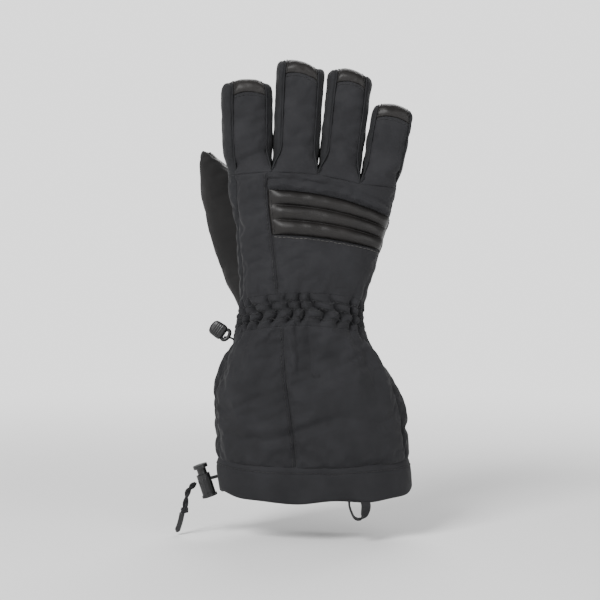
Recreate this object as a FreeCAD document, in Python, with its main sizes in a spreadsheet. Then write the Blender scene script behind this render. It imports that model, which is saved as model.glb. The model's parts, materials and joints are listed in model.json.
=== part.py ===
import FreeCAD, Part
import math
import os

import Sketcher

# A right-hand ski glove with a gauntlet cuff, standing on its hem, fingers up.
# Frame: +Z along the fingers, -Y the back of the hand, +Y the palm, -X the thumb side.
# The origin is the centre of the cuff opening, in the plane of the hem. Millimetres.

doc = FreeCAD.newDocument("ski_glove")
sheet = doc.addObject("Spreadsheet::Sheet", "Sizes")

# numbers that drive the glove; everything in FORMULAS is worked out from them
SIZES = {
    # breadth and depth of the cuff's mouth, wrist and knuckles, and the longest finger
    "hem_w": 143, "hem_d": 72, "wrist_w": 87, "knuckle_w": 129, "knuckle_d": 41, "middle_len": 89.8,
    # layers of cloth, from the outside in
    "shell_t": 1.6, "fill_t": 3.6, "fleece_t": 1.2, "layer_gap": 0.1, "seam_gap": 0.2,
    # height and middle of the outline of cuff and hand at each station
    "hem_z": 0, "hem_x": 12,
    "band_x": 10.5,
    "bell_z": 60, "bell_x": 6.5,
    "flare_z": 80, "flare_x": 3,
    "neck_z": 104, "neck_x": 2,
    "throat_z": 118, "throat_x": 0.5,
    "wrist_z": 133, "wrist_x": -0.5,
    "heel_z": 150, "heel_x": 2,
    "palm_z": 173, "palm_x": 5,
    "ball_z": 202, "ball_x": 8.5,
    "knuckle_z": 240, "knuckle_x": 8.5,
    "corner_share": 0.465,
    # the elasticated wrist band runs lower on the palm than on the back
    "band_mid_z": 131, "band_slant": 24, "band_gap": 17,
    "elastic_h": 10, "elastic_t": 1.2,
    # hem, its tunnel and drawcord
    "hem_h": 26, "hem_proud": 0.6, "hem_t": 4.6,
    "cord_z": 14.6, "cord_in": 1.2, "cord_t": 2, "cord_h": 2.6, "tunnel_gap": 0.2, "mouth_gap": 1.2,
    # cuff and hand seams
    "cuff_seam_x": -8, "cuff_side_x": 50, "cuff_thumb_x": -42,
    "back_seam_x": -20, "side_seam_x": -43, "side_seam_y": 10,
    "palm_seam_z": 208,
    # quilted knuckle pad
    "pad_x": -22, "pad_top_z": 226, "pad_rib_h": 10.6, "pad_ribs": 3, "pad_proud": 2.2, "pad_groove": 1.6,
    # palm patch between the thumb and the heel
    "patch_x": 12, "patch_w": 26, "patch_z": 146, "patch_h": 52, "patch_t": 1.4,
    # fingers: hinge place and tilt away from +Z
    "index_x": -39.2, "index_z": 238, "index_tilt": -0.5,
    "middle_x": -4, "middle_z": 238, "middle_tilt": 3,
    "ring_x": 28.4, "ring_z": 236, "ring_tilt": 6.5,
    "little_x": 58.8, "little_z": 229, "little_tilt": 10,
    "finger_d": 30, "finger_top_d": 29, "finger_r": 8,
    "shoulder": 12, "crown": 4, "crown_in": 3.2, "crown_share": 0.7, "tip_in": 9,
    "finger_floor": 0.6, "finger_run": 0.5, "root_margin": 3,
    "cap_h": 10, "strip_back": 4.8, "strip_palm": 7,
    # thumb: hinge place, then its outline along its own axis
    "thumb_x": -34, "thumb_y": 39.8, "thumb_z": 166, "thumb_tilt": 22, "thumb_lean": 6,
    "thumb_root_w": 44, "thumb_root_d": 25, "thumb_tip_z": 101, "thumb_tip_w": 13, "thumb_tip_d": 12,
    "thumb_corner": 0.42, "thumb_seam": 3, "thumb_hole_r": 15,
    # cord lock: a spring-loaded plunger in a barrel, gripping the doubled drawcord
    "lock_x": -67.8, "lock_y": 0, "lock_z": 0, "lock_tilt": 18,
    "lock_r": 5.1, "lock_h": 17.6, "lock_foot_r": 5.9, "lock_foot_h": 1.6,
    "lock_bore_r": 3.7, "lock_floor": 1.6,
    "plunger_h": 14.4, "plunger_z": 8.1, "plunger_slot_h": 6.6, "plunger_fit": 0.15,
    "head_r": 5.5, "head_h": 2.6,
    "eye_z": 12.6, "eye_w": 5, "eye_h": 3,
    "spring_r": 2.8, "spring_wire": 0.35, "spring_turns": 4.5,
    # doubled drawcord between hem and lock, and its loose end
    "strand_r": 1.05, "strand_gap": 0.1, "lead_len": 12.1,
    "tail_start": 6.4, "tail_drop": 22, "tail_reach": 11, "tail_lean": 15,
    "knot_r": 2.7, "toggle_r": 2.2, "toggle_h": 13.3,
    # webbing loop at the hem and clip at the wrist
    "loop_x": 43, "loop_y": -33, "loop_z": -7, "loop_gap": 1.2, "loop_r": 3.8, "web_t": 1.4, "web_w": 7,
    "clip_x": -55.4, "clip_z": 121.5, "clip_tilt": 35,
    "clip_w": 11, "clip_l": 13, "clip_t": 3.6, "clip_bar": 2, "clip_slot": 2.6,
    "tab_l": 3.4, "tab_t": 1.4, "tab_gap": 2.3,
}

FORMULAS = {
    # the cuff hangs straight for the height of its hem, then narrows to the wrist
    "band_z": "hem_h",
    "band_w": "hem_w + 2",
    "bell_w": "hem_w - 2",
    "flare_w": "hem_w - 9",
    "neck_w": "wrist_w + 25",
    "throat_w": "wrist_w + 11",
    # the hand widens from the wrist to the knuckles
    "heel_w": "wrist_w + 6",
    "palm_w": "wrist_w + 15",
    "ball_w": "knuckle_w - 17",
    # depths, stepping in from the cuff's mouth and out from the knuckles
    "band_d": "hem_d",
    "bell_d": "hem_d - 3",
    "flare_d": "hem_d - 7",
    "neck_d": "hem_d - 14",
    "throat_d": "hem_d - 18",
    "wrist_d": "knuckle_d + 10",
    "heel_d": "knuckle_d + 9",
    "palm_d": "knuckle_d + 7",
    "ball_d": "knuckle_d + 5",
    # fingers, as shares of the middle one and of the knuckles
    "index_len": "middle_len * 0.825",
    "ring_len": "middle_len * 0.945",
    "little_len": "middle_len * 0.73",
    "index_w": "knuckle_w * 0.27",
    "middle_w": "knuckle_w * 0.25",
    "ring_w": "knuckle_w * 0.23",
    "little_w": "knuckle_w * 0.217",
    "index_top_w": "index_w + 3",
    "middle_top_w": "middle_w + 2.5",
    "ring_top_w": "ring_w + 2.5",
    "little_top_w": "little_w + 2",
    "knuckle_drop": "finger_d / 2 + finger_run + layer_gap",
    # thumb, tapering from its root to its tip
    "thumb_mid_z": "thumb_tip_z * 0.42",
    "thumb_mid_w": "thumb_root_w - 4",
    "thumb_mid_d": "thumb_root_d + 1",
    "thumb_neck_z": "thumb_tip_z * 0.77",
    "thumb_neck_w": "thumb_root_w - 15",
    "thumb_neck_d": "thumb_root_d - 2",
    # the plunger runs in the barrel's bore
    "plunger_r": "lock_bore_r - plunger_fit",
}

for row, (alias, value) in enumerate([*SIZES.items(), *FORMULAS.items()], start=1):
    sheet.set(f"A{row}", alias)
    sheet.setAlias(f"B{row}", alias)
    sheet.set(f"B{row}", f"={value}")
doc.recompute()

STATIONS = ["hem", "band", "bell", "flare", "neck", "throat", "wrist", "heel", "palm", "ball", "knuckle"]
FINGERS = ["index", "middle", "ring", "little"]
BIG = 400  # longer than the glove
WIDE, DEEP = 150, 80  # further out than the glove's sides, back and palm
COIL_POINTS = 10  # points that set out each turn of the spring
TO_PALM = FreeCAD.Rotation(FreeCAD.Vector(1, 0, 0), -90)
ALONG_X = FreeCAD.Rotation(FreeCAD.Vector(0, 1, 0), 90)
parts = {}


def size(alias):
    return float(sheet.get(alias))


def cells(text):
    """Turns the sheet's names in a formula into references to its cells."""
    words = []
    for word in text.replace("(", "( ").replace(")", " )").split():
        words.append(f"Sizes.{word}" if word in SIZES or word in FORMULAS else word)
    return " ".join(words)


def bind(feature, **formulas):
    """Ties a feature's properties to formulas written in the sheet's names."""
    for name, text in formulas.items():
        feature.setExpression(name, cells(text))
    return feature


def place(feature, x="0", y="0", z="0", rotation=None):
    """Puts a feature at a point given by formulas, turned by a fixed rotation if one is given."""
    if rotation is not None:
        feature.Placement = FreeCAD.Placement(FreeCAD.Vector(), rotation)
    for axis, text in zip("xyz", (x, y, z)):
        feature.setExpression(f".Placement.Base.{axis}", cells(text))
    return feature


def block(name, x, y, z, length, width, height, rotation=None):
    """A box whose low corner and sides are formulas."""
    box = doc.addObject("Part::Box", name)
    bind(box, Length=length, Width=width, Height=height)
    return place(box, x, y, z, rotation)


def zone(name, z, height=str(BIG), left=f"-{WIDE}", right=str(WIDE), back=f"-{DEEP}", palm=str(DEEP)):
    """A block that picks out a stretch of the glove; it reaches past every side that isn't given."""
    return block(name, left, back, z, f"( {right} ) - ( {left} )", f"( {palm} ) - ( {back} )", height)


def rod(name, radius, height, x="0", y="0", z="0", rotation=None):
    """A cylinder whose radius, height and place are formulas."""
    cylinder = doc.addObject("Part::Cylinder", name)
    bind(cylinder, Radius=radius, Height=height)
    return place(cylinder, x, y, z, rotation)


def cut(name, base, tool):
    feature = doc.addObject("Part::Cut", name)
    feature.Base = base
    feature.Tool = tool
    return feature


def common(name, base, tool):
    feature = doc.addObject("Part::Common", name)
    feature.Base = base
    feature.Tool = tool
    return feature


def fuse(name, shapes):
    feature = doc.addObject("Part::MultiFuse", name)
    feature.Shapes = shapes
    return feature


def moved(name, feature, placement):
    """A placed copy of a feature, for a sub-part drawn in a frame of its own."""
    link = doc.addObject("Part::Compound", name)
    link.Links = [feature]
    link.Placement = placement
    return link


def part(node, feature):
    """Names a feature as one of the glove's sub-parts."""
    feature.Label = node
    parts[node] = feature
    return feature


def rounded_section(name, width, depth, corner, x="0", z="0"):
    """A sketch of a rectangle with round corners, centred on its own origin, at height z."""
    sketch = doc.addObject("Sketcher::SketchObject", name)
    # a first size to draw it at; the formulas at the end set the real one
    hw, hd, r = 20.0, 12.0, 5.0
    corners = [(hw, hd), (-hw, hd), (-hw, -hd), (hw, -hd)]
    for i, (cx, cy) in enumerate(corners):
        nx, ny = corners[(i + 1) % 4]
        sx, sy = math.copysign(r, nx - cx), math.copysign(r, ny - cy)
        if i % 2 == 0:
            ends = (cx + sx, cy), (nx - sx, ny)
        else:
            ends = (cx, cy + sy), (nx, ny - sy)
        sketch.addGeometry(Part.LineSegment(*[FreeCAD.Vector(*e, 0) for e in ends]))
    for i, (cx, cy) in enumerate(corners):
        centre = FreeCAD.Vector(cx - math.copysign(r, cx), cy - math.copysign(r, cy), 0)
        circle = Part.Circle(centre, FreeCAD.Vector(0, 0, 1), r)
        sketch.addGeometry(Part.ArcOfCircle(circle, i * math.pi / 2, (i + 1) * math.pi / 2))
    # lines 0 to 3 are the top, left, bottom and right sides; arc 4 + i starts its corner's turn
    for i in range(4):
        sketch.addConstraint(Sketcher.Constraint("Tangent", 4 + i, 2, i, 1))
        sketch.addConstraint(Sketcher.Constraint("Tangent", i, 2, 4 + (i + 1) % 4, 1))
    for i in (0, 2):
        sketch.addConstraint(Sketcher.Constraint("Horizontal", i))
        sketch.addConstraint(Sketcher.Constraint("Vertical", i + 1))
    for i in range(5, 8):
        sketch.addConstraint(Sketcher.Constraint("Equal", 4, i))
    named = [
        ("corner", Sketcher.Constraint("Radius", 4, r)),
        ("right", Sketcher.Constraint("DistanceX", -1, 1, 3, 1, hw)),
        ("left", Sketcher.Constraint("DistanceX", 1, 1, -1, 1, hw)),
        ("top", Sketcher.Constraint("DistanceY", -1, 1, 0, 1, hd)),
        ("bottom", Sketcher.Constraint("DistanceY", 2, 1, -1, 1, hd)),
    ]
    for word, constraint in named:
        sketch.renameConstraint(sketch.addConstraint(constraint), word)
    for word, text in (
        ("corner", corner),
        ("right", f"( {width} ) / 2"),
        ("left", f"( {width} ) / 2"),
        ("top", f"( {depth} ) / 2"),
        ("bottom", f"( {depth} ) / 2"),
    ):
        sketch.setExpression(f"Constraints.{word}", cells(text))
    return place(sketch, x=x, z=z)


def loft(name, sections):
    feature = doc.addObject("Part::Loft", name)
    feature.Sections = sections
    feature.Solid = True
    feature.Ruled = True
    return feature


def glove_form(name, inset):
    """The whole outside of cuff and hand, as a solid, moved inwards by a formula."""
    rings = []
    for s in STATIONS:
        corner = f"corner_share * {s}_d - ( {inset} )"
        outline = [f"{s}_w - 2 * ( {inset} )", f"{s}_d - 2 * ( {inset} )", corner]
        rings.append(rounded_section(f"{name}_{s}", *outline, x=f"{s}_x", z=f"{s}_z"))
    return loft(name, rings)


# ---------------------------------------------------------------- zones and layers

SLANT = FreeCAD.Rotation(FreeCAD.Vector(1, 0, 0), -size("band_slant"))


def slanted_zone(name, low, high):
    """A slab square to the slanted wrist line, between two distances along it."""
    sine = "sin( band_slant * 1 deg )"
    cosine = "cos( band_slant * 1 deg )"
    # its low corner is half its side back along X and along the slant, then raised by low
    y = f"-{BIG / 2} * {cosine} + ( {low} ) * {sine}"
    z = f"band_mid_z + {BIG / 2} * {sine} + ( {low} ) * {cosine}"
    return block(name, f"-{BIG / 2}", y, z, str(BIG), str(BIG), f"( {high} ) - ( {low} )", SLANT)


hand_zone = slanted_zone("hand_zone", "band_gap / 2", str(BIG))
wrist_zone = slanted_zone("wrist_zone", "0 - band_gap / 2 + seam_gap", "band_gap / 2 - seam_gap")
cuff_zone = slanted_zone("cuff_zone", f"0 - {BIG}", "0 - band_gap / 2")

form_outer = glove_form("form_outer", "0")
form_shell = glove_form("form_shell", "shell_t")
form_fill = glove_form("form_fill", "shell_t + layer_gap")
form_fleece = glove_form("form_fleece", "shell_t + layer_gap + fill_t")
form_lining = glove_form("form_lining", "shell_t + 2 * layer_gap + fill_t")
form_hand = glove_form("form_hand", "shell_t + 2 * layer_gap + fill_t + fleece_t")
form_proud = glove_form("form_proud", "0 - pad_proud")

shell_ring = cut("shell_ring", form_outer, form_shell)
fill_ring = cut("fill_ring", form_fill, form_fleece)
lining_ring = cut("lining_ring", form_lining, form_hand)


def finger_placement(finger):
    """Where a finger's own frame lies: origin on its hinge, +Z along the finger."""
    turn = FreeCAD.Rotation(FreeCAD.Vector(0, 1, 0), size(f"{finger}_tilt"))
    return FreeCAD.Placement(FreeCAD.Vector(size(f"{finger}_x"), 0, size(f"{finger}_z")), turn)


def finger_clearance(finger):
    """The space that a finger sweeps at its root, which the hand's layers leave free."""
    width = f"{finger}_w + 2 * root_margin"
    low = f"0 - ( {width} ) / 2"
    radius = "finger_d / 2 - shell_t + finger_run"
    barrel = rod(f"{finger}_socket", radius, width, x=low, rotation=ALONG_X)
    above = zone(f"{finger}_above", "0 - finger_run", left=low, right=f"( {width} ) / 2")
    front = zone(f"{finger}_front", "0 - knuckle_drop", left=low, right=f"( {width} ) / 2", back="0")
    tool = fuse(f"{finger}_clearance", [barrel, above, front])
    return moved(f"{finger}_clearance_placed", tool, finger_placement(finger))


outer_edges = [
    zone("index_outside", "index_z - finger_run", right="index_x"),
    zone("little_outside", "little_z - finger_run", left="little_x"),
]
thumb_hole = rod("thumb_hole", "thumb_hole_r", str(DEEP), "thumb_x", "0", "thumb_z", TO_PALM)
hand_gaps = [finger_clearance(f) for f in FINGERS] + outer_edges + [thumb_hole]


def opened(name, layer):
    """One of the hand's layers with the finger roots and the thumb hole cut from it, one by one."""
    for tool in hand_gaps:
        layer = cut(f"{name}_less_{tool.Name}", layer, tool)
    return layer


# ---------------------------------------------------------------- hand

hand_shell = opened("hand_shell", common("hand_shell_zone", shell_ring, hand_zone))
index_side = {"right": "side_seam_x", "back": "0 - side_seam_y", "palm": "side_seam_y"}
index_side_zone = zone("index_side_zone", "0", **index_side)
part("hand_index_side_panel", common("index_side_panel", hand_shell, index_side_zone))
hand_wrap = cut("hand_wrap", hand_shell, index_side_zone)

back_zone = zone("back_zone", "0", palm="0")
back_shell = common("back_shell", hand_wrap, back_zone)
pad_h = "pad_ribs * pad_rib_h"
pad_zone = zone("pad_zone", f"pad_top_z - {pad_h}", pad_h, left="pad_x", palm="0")
back_field = cut("back_field", back_shell, pad_zone)
back_thumb_zone = zone("back_thumb_zone", "0", right="back_seam_x", palm="0")
part("hand_back_panel_thumb_side", common("back_thumb_side", back_field, back_thumb_zone))
back_little = cut("back_little", back_field, back_thumb_zone)
finger_root_zone = zone("finger_root_zone", "pad_top_z", palm="0")
part("hand_back_panel", cut("back_main", back_little, finger_root_zone))
part("knuckle_band", common("knuckle_band_panel", back_little, finger_root_zone))


def knuckle_pad():
    """A leather panel quilted into ribs that stand proud of the back."""
    slab = cut("pad_slab", form_proud, form_shell)
    field = common("pad_field", slab, pad_zone)
    back = opened("pad_back", common("pad_back_field", field, back_zone))
    grooves = []
    for i in range(int(size("pad_ribs")) + 1):
        z = f"pad_top_z - {i} * pad_rib_h"
        # the hand thins from its ball to its knuckles, and the grooves lie in the pad's face
        thinned = f"( ball_d - knuckle_d ) * ( {z} - ball_z ) / ( knuckle_z - ball_z )"
        y = f"0 - ( ball_d - {thinned} ) / 2 - pad_proud"
        name = f"pad_groove_{i}"
        grooves.append(rod(name, "pad_groove", str(2 * WIDE), f"-{WIDE}", y, z, ALONG_X))
    return cut("pad_quilted", back, fuse("pad_grooves", grooves))


part("knuckle_pad", knuckle_pad())

palm_shell = cut("palm_shell", hand_wrap, back_zone)
palm_upper_zone = zone("palm_upper_zone", "palm_seam_z", back="0")
part("palm_leather_upper", common("palm_upper", palm_shell, palm_upper_zone))
part("palm_leather_lower", cut("palm_lower", palm_shell, palm_upper_zone))

form_patch = glove_form("form_patch", "0 - patch_t - layer_gap")
form_patch_under = glove_form("form_patch_under", "0 - layer_gap")
patch_zone = zone("patch_zone", "patch_z", "patch_h", left="patch_x", right="patch_x + patch_w", back="0")
patch_skin = cut("patch_skin", form_patch, form_patch_under)
part("palm_reinforcement_patch", common("palm_patch", patch_skin, patch_zone))

part("hand_insulation", opened("hand_fill", common("hand_fill_zone", fill_ring, hand_zone)))
part("hand_lining", opened("hand_fleece", common("hand_fleece_zone", lining_ring, hand_zone)))

# ---------------------------------------------------------------- wrist

part("wrist_shirring", common("shirred_shell", shell_ring, wrist_zone))
form_elastic = glove_form("form_elastic", "shell_t + layer_gap + elastic_t")
elastic_zone = slanted_zone("elastic_zone", "0 - elastic_h / 2", "elastic_h / 2")
elastic_ring = cut("elastic_ring", form_fill, form_elastic)
part("wrist_elastic", common("elastic_band", elastic_ring, elastic_zone))

# ---------------------------------------------------------------- cuff

above_hem = zone("above_hem", "hem_h + layer_gap")
cuff_shell = common("cuff_shell", common("cuff_shell_zone", shell_ring, cuff_zone), above_hem)
cuff_thumb_zone = zone("cuff_thumb_zone", "0", right="cuff_thumb_x")
cuff_little_zone = zone("cuff_little_zone", "0", left="cuff_side_x")
part("cuff_gusset_thumb_side", common("cuff_gusset_thumb", cuff_shell, cuff_thumb_zone))
part("cuff_gusset_little_side", common("cuff_gusset_little", cuff_shell, cuff_little_zone))
cuff_faces = cut("cuff_faces", cuff_shell, fuse("cuff_sides", [cuff_thumb_zone, cuff_little_zone]))
part("cuff_palm_panel", cut("cuff_palm", cuff_faces, back_zone))
cuff_back = common("cuff_back", cuff_faces, back_zone)
cuff_seam_zone = zone("cuff_seam_zone", "0", right="cuff_seam_x", palm="0")
part("cuff_back_panel_thumb_side", common("cuff_back_thumb", cuff_back, cuff_seam_zone))
part("cuff_back_panel_little_side", cut("cuff_back_little", cuff_back, cuff_seam_zone))

form_cuff_fleece = glove_form("form_cuff_fleece", "shell_t + layer_gap + fleece_t")
cuff_lining_ring = cut("cuff_lining_ring", form_fill, form_cuff_fleece)
cuff_lining = common("cuff_lining_zone", cuff_lining_ring, cuff_zone)
part("cuff_lining", common("cuff_lining_part", cuff_lining, above_hem))

form_hem = glove_form("form_hem", "0 - hem_proud")
form_hem_in = glove_form("form_hem_in", "hem_t - hem_proud")
hem_zone = zone("hem_zone", "0", "hem_h")
hem_ring = common("hem_ring", cut("hem_wall", form_hem, form_hem_in), hem_zone)
form_tunnel = glove_form("form_tunnel", "cord_in - tunnel_gap")
form_tunnel_in = glove_form("form_tunnel_in", "cord_in + cord_t + tunnel_gap")
tunnel_zone = zone("tunnel_zone", "cord_z - tunnel_gap", "cord_h + 2 * tunnel_gap")
tunnel = common("tunnel", cut("tunnel_ring", form_tunnel, form_tunnel_in), tunnel_zone)
# a window on the thumb side that lets the doubled cord out of its tunnel
mouth = zone(
    "tunnel_mouth",
    "cord_z - mouth_gap",
    "cord_h + 2 * mouth_gap",
    right="hem_x - hem_w / 2 + cord_in + cord_t / 2",
    back="0 - eye_w / 2",
    palm="eye_w / 2",
)
part("hem_band", cut("hem_sleeve", hem_ring, fuse("hem_void", [tunnel, mouth])))
form_cord = glove_form("form_cord", "cord_in")
form_cord_in = glove_form("form_cord_in", "cord_in + cord_t")
cord_zone = zone("cord_zone", "cord_z", "cord_h")
part("hem_drawcord", common("hem_cord", cut("cord_ring", form_cord, form_cord_in), cord_zone))

# ---------------------------------------------------------------- fingers


def finger_form(name, finger, inset):
    """A finger as a rounded form, straight below its hinge and wider at its shoulder, moved inwards."""
    top, length = f"{finger}_top_w", f"{finger}_len"
    root = (f"{finger}_w", "finger_d", "finger_r")
    shoulder = (top, "finger_top_d", "finger_r")
    crown = (f"{top} - 2 * crown_in", "finger_top_d - 2 * crown_in", "finger_r")
    tip = (f"{top} - 2 * tip_in", "finger_top_d - 2 * tip_in", "tip_in / 2")
    crown_inset = f"crown_share * ( {inset} )"
    rings = []
    for word, z, inward, (width, depth, corner) in (
        ("foot", "0 - finger_d", inset, root),
        ("root", "0", inset, root),
        ("shoulder", f"{length} - shoulder", inset, shoulder),
        ("crown", f"{length} - crown - {crown_inset}", crown_inset, crown),
        ("tip", f"{length} - ( {inset} )", "0", tip),
    ):
        sides = [f"{side} - 2 * ( {inward} )" for side in (width, depth)]
        rings.append(rounded_section(f"{name}_{word}", *sides, f"{corner} - ( {inward} )", z=z))
    return loft(name, rings)


def stall_reach(name, root):
    """Where a stall's layers run: everything above its hinge, and a round root about the hinge's axis."""
    return fuse(f"{name}_reach", [root, zone(f"{name}_above_hinge", "0")])


def strip_wedge(finger):
    """The middle of a finger between its side walls, a little narrower on the palm than on the back."""
    half_w, half_d = f"{finger}_w / 2", "( finger_d / 2 + shell_t )"
    wedge = doc.addObject("Part::Wedge", f"{finger}_strip_tool")
    bind(wedge, Xmin=f"strip_back - {half_w}", Xmax=f"{half_w} - strip_back")
    bind(wedge, X2min=f"strip_palm - {half_w}", X2max=f"{half_w} - strip_palm")
    bind(wedge, Ymin=f"0 - {half_d}", Ymax=half_d)
    bind(wedge, Zmin="0", Z2min="0", Zmax=f"{finger}_len + shoulder", Z2max=f"{finger}_len + shoulder")
    return wedge


# how far in from the outside each inner layer starts and ends
FILL = ("shell_t + layer_gap", "shell_t + layer_gap + fill_t")
FLEECE = ("shell_t + 2 * layer_gap + fill_t", "shell_t + 2 * layer_gap + fill_t + fleece_t")


def build_finger(finger):
    """One finger stall: back panel, leather strip over the tip and palm, side walls, padding, lining."""
    wall = cut(f"{finger}_wall", *[finger_form(f"{finger}_skin_{t}", finger, t) for t in ("0", "shell_t")])
    skin = common(f"{finger}_skin", wall, zone(f"{finger}_skin_zone", "finger_floor"))
    wedge = strip_wedge(finger)
    strip = common(f"{finger}_strip", skin, wedge)
    walls = cut(f"{finger}_walls", skin, wedge)
    below_cap = zone(f"{finger}_below_cap", "0", f"{finger}_len - cap_h", palm="0")
    thumb_half = zone(f"{finger}_thumb_half", "0", right="0")
    root_r = "finger_d / 2 - shell_t - layer_gap"
    root = rod(f"{finger}_root", root_r, f"{finger}_w", x=f"0 - {finger}_w / 2", rotation=ALONG_X)
    reach = stall_reach(finger, root)
    fill = [finger_form(f"{finger}_fill_{i}", finger, t) for i, t in enumerate(FILL)]
    fleece = [finger_form(f"{finger}_fleece_{i}", finger, t) for i, t in enumerate(FLEECE)]
    pieces = {
        f"{finger}_back_panel": common(f"{finger}_back", strip, below_cap),
        f"{finger}_leather_strip": cut(f"{finger}_leather", strip, below_cap),
        f"{finger}_fourchette_thumb_side": common(f"{finger}_wall_near", walls, thumb_half),
        f"{finger}_fourchette_little_side": cut(f"{finger}_wall_far", walls, thumb_half),
        f"{finger}_insulation": common(f"{finger}_padding", cut(f"{finger}_fill", *fill), reach),
        f"{finger}_lining": common(f"{finger}_sleeve", cut(f"{finger}_fleece", *fleece), reach),
    }
    home = finger_placement(finger)
    for node, feature in pieces.items():
        part(node, moved(f"{node}_placed", feature, home))


for finger_name in FINGERS:
    build_finger(finger_name)

# ---------------------------------------------------------------- thumb


def thumb_form(name, inset):
    """The thumb as a tapering solid along its own +Z, moved inwards by a formula."""
    rings = []
    for s, z, inward in (
        ("root", "0 - thumb_root_w / 2", inset),
        ("mid", "thumb_mid_z", inset),
        ("neck", "thumb_neck_z", inset),
        ("tip", f"thumb_tip_z - ( {inset} )", f"( {inset} ) / 2"),
    ):
        depth = f"( thumb_{s}_d - 2 * {inward} )"
        outline = [f"thumb_{s}_w - 2 * {inward}", depth, f"thumb_corner * {depth}"]
        rings.append(rounded_section(f"{name}_{s}", *outline, z=z))
    return loft(name, rings)


def thumb_placement():
    """Where the thumb's own frame lies: it leans outwards from the hand and forwards of the palm."""
    out = FreeCAD.Rotation(FreeCAD.Vector(0, 1, 0), -size("thumb_tilt"))
    lean = FreeCAD.Rotation(FreeCAD.Vector(1, 0, 0), -size("thumb_lean"))
    root = FreeCAD.Vector(size("thumb_x"), size("thumb_y"), size("thumb_z"))
    return FreeCAD.Placement(root, out.multiply(lean))


def build_thumb():
    """The thumb stall: leather to the palm, a fabric gusset, a suede back, padding and lining."""
    wall = cut("thumb_wall", thumb_form("thumb_outer", "0"), thumb_form("thumb_inner", "shell_t"))
    half = "thumb_root_w / 2"
    root = rod("thumb_root", half, "thumb_root_w", y=f"0 - {half}", rotation=TO_PALM)
    skin = common("thumb_skin", wall, stall_reach("thumb", root))
    leather_zone = zone("thumb_leather_zone", "0 - thumb_root_w", left="0 - thumb_seam")
    gusset_zone = zone("thumb_gusset_zone", "0 - thumb_root_w", right="0 - thumb_seam", back="0")
    rest = cut("thumb_rest", skin, leather_zone)
    inner_r = f"{half} - shell_t - layer_gap"
    inner_root = rod("thumb_inner_root", inner_r, "thumb_root_w", y=f"0 - {half}", rotation=TO_PALM)
    inside = stall_reach("thumb_inside", inner_root)
    fill = [thumb_form(f"thumb_fill_{i}", f"( {t} )") for i, t in enumerate(FILL)]
    fleece = [thumb_form(f"thumb_fleece_{i}", f"( {t} )") for i, t in enumerate(FLEECE)]
    pieces = {
        "thumb_leather_face": common("thumb_leather", skin, leather_zone),
        "thumb_side_gusset": common("thumb_gusset", rest, gusset_zone),
        "thumb_suede_back": cut("thumb_suede", rest, gusset_zone),
        "thumb_insulation": common("thumb_padding", cut("thumb_fill", *fill), inside),
        "thumb_lining": common("thumb_sleeve", cut("thumb_fleece", *fleece), inside),
    }
    home = thumb_placement()
    for node, feature in pieces.items():
        part(node, moved(f"{node}_placed", feature, home))


build_thumb()

# ---------------------------------------------------------------- cord lock


def plane(body, role):
    """The body's own origin plane with a given role."""
    return next(f for f in body.Origin.OriginFeatures if f.Role == role)


def disc(body, name, radius, z="0"):
    """A circle sketch in a body's XY plane, raised to height z."""
    sketch = body.newObject("Sketcher::SketchObject", name)
    sketch.AttachmentSupport = [(plane(body, "XY_Plane"), "")]
    sketch.MapMode = "FlatFace"
    sketch.addGeometry(Part.Circle(FreeCAD.Vector(), FreeCAD.Vector(0, 0, 1), 3))
    sketch.addConstraint(Sketcher.Constraint("Coincident", 0, 3, -1, 1))
    sketch.renameConstraint(sketch.addConstraint(Sketcher.Constraint("Radius", 0, 3)), "radius")
    sketch.setExpression("Constraints.radius", cells(radius))
    sketch.setExpression(".AttachmentOffset.Base.z", cells(z))
    return sketch


def rectangle(body, name, role, width, height, across="0", up="0", away="0"):
    """A rectangle sketch in one of a body's planes, its middle at (across, up), away from the plane."""
    sketch = body.newObject("Sketcher::SketchObject", name)
    sketch.AttachmentSupport = [(plane(body, role), "")]
    sketch.MapMode = "FlatFace"
    points = [FreeCAD.Vector(x, y, 0) for x, y in ((-2, -1), (2, -1), (2, 1), (-2, 1))]
    for i, start in enumerate(points):
        sketch.addGeometry(Part.LineSegment(start, points[(i + 1) % 4]))
    for i in range(4):
        sketch.addConstraint(Sketcher.Constraint("Coincident", i, 2, (i + 1) % 4, 1))
    for i in (0, 2):
        sketch.addConstraint(Sketcher.Constraint("Horizontal", i))
        sketch.addConstraint(Sketcher.Constraint("Vertical", i + 1))
    for word, kind, side, number, text in (
        ("right", "DistanceX", 1, 2, f"( {width} ) / 2"),
        ("top", "DistanceY", 2, 1, f"( {height} ) / 2"),
    ):
        named = sketch.addConstraint(Sketcher.Constraint(kind, -1, 1, side, 2, number))
        sketch.renameConstraint(named, word)
        sketch.setExpression(f"Constraints.{word}", cells(text))
    sketch.addConstraint(Sketcher.Constraint("Symmetric", 0, 1, 1, 2, -1, 1))
    for axis, text in zip("xyz", (across, up, away)):
        sketch.setExpression(f".AttachmentOffset.Base.{axis}", cells(text))
    return sketch


def pad(body, name, sketch, length, both=False):
    feature = body.newObject("PartDesign::Pad", name)
    feature.Profile = sketch
    feature.Midplane = both
    return bind(feature, Length=length)


def pocket(body, name, sketch, length, both=False, reverse=True):
    feature = body.newObject("PartDesign::Pocket", name)
    feature.Profile = sketch
    feature.Midplane = both
    feature.Reversed = reverse
    return bind(feature, Length=length)


def lock_placement():
    """Where the cord lock's own frame lies: foot at the origin, +Z up its barrel, cords along X."""
    turn = FreeCAD.Rotation(FreeCAD.Vector(0, 1, 0), -size("lock_tilt"))
    return FreeCAD.Placement(FreeCAD.Vector(size("lock_x"), size("lock_y"), size("lock_z")), turn)


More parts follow.
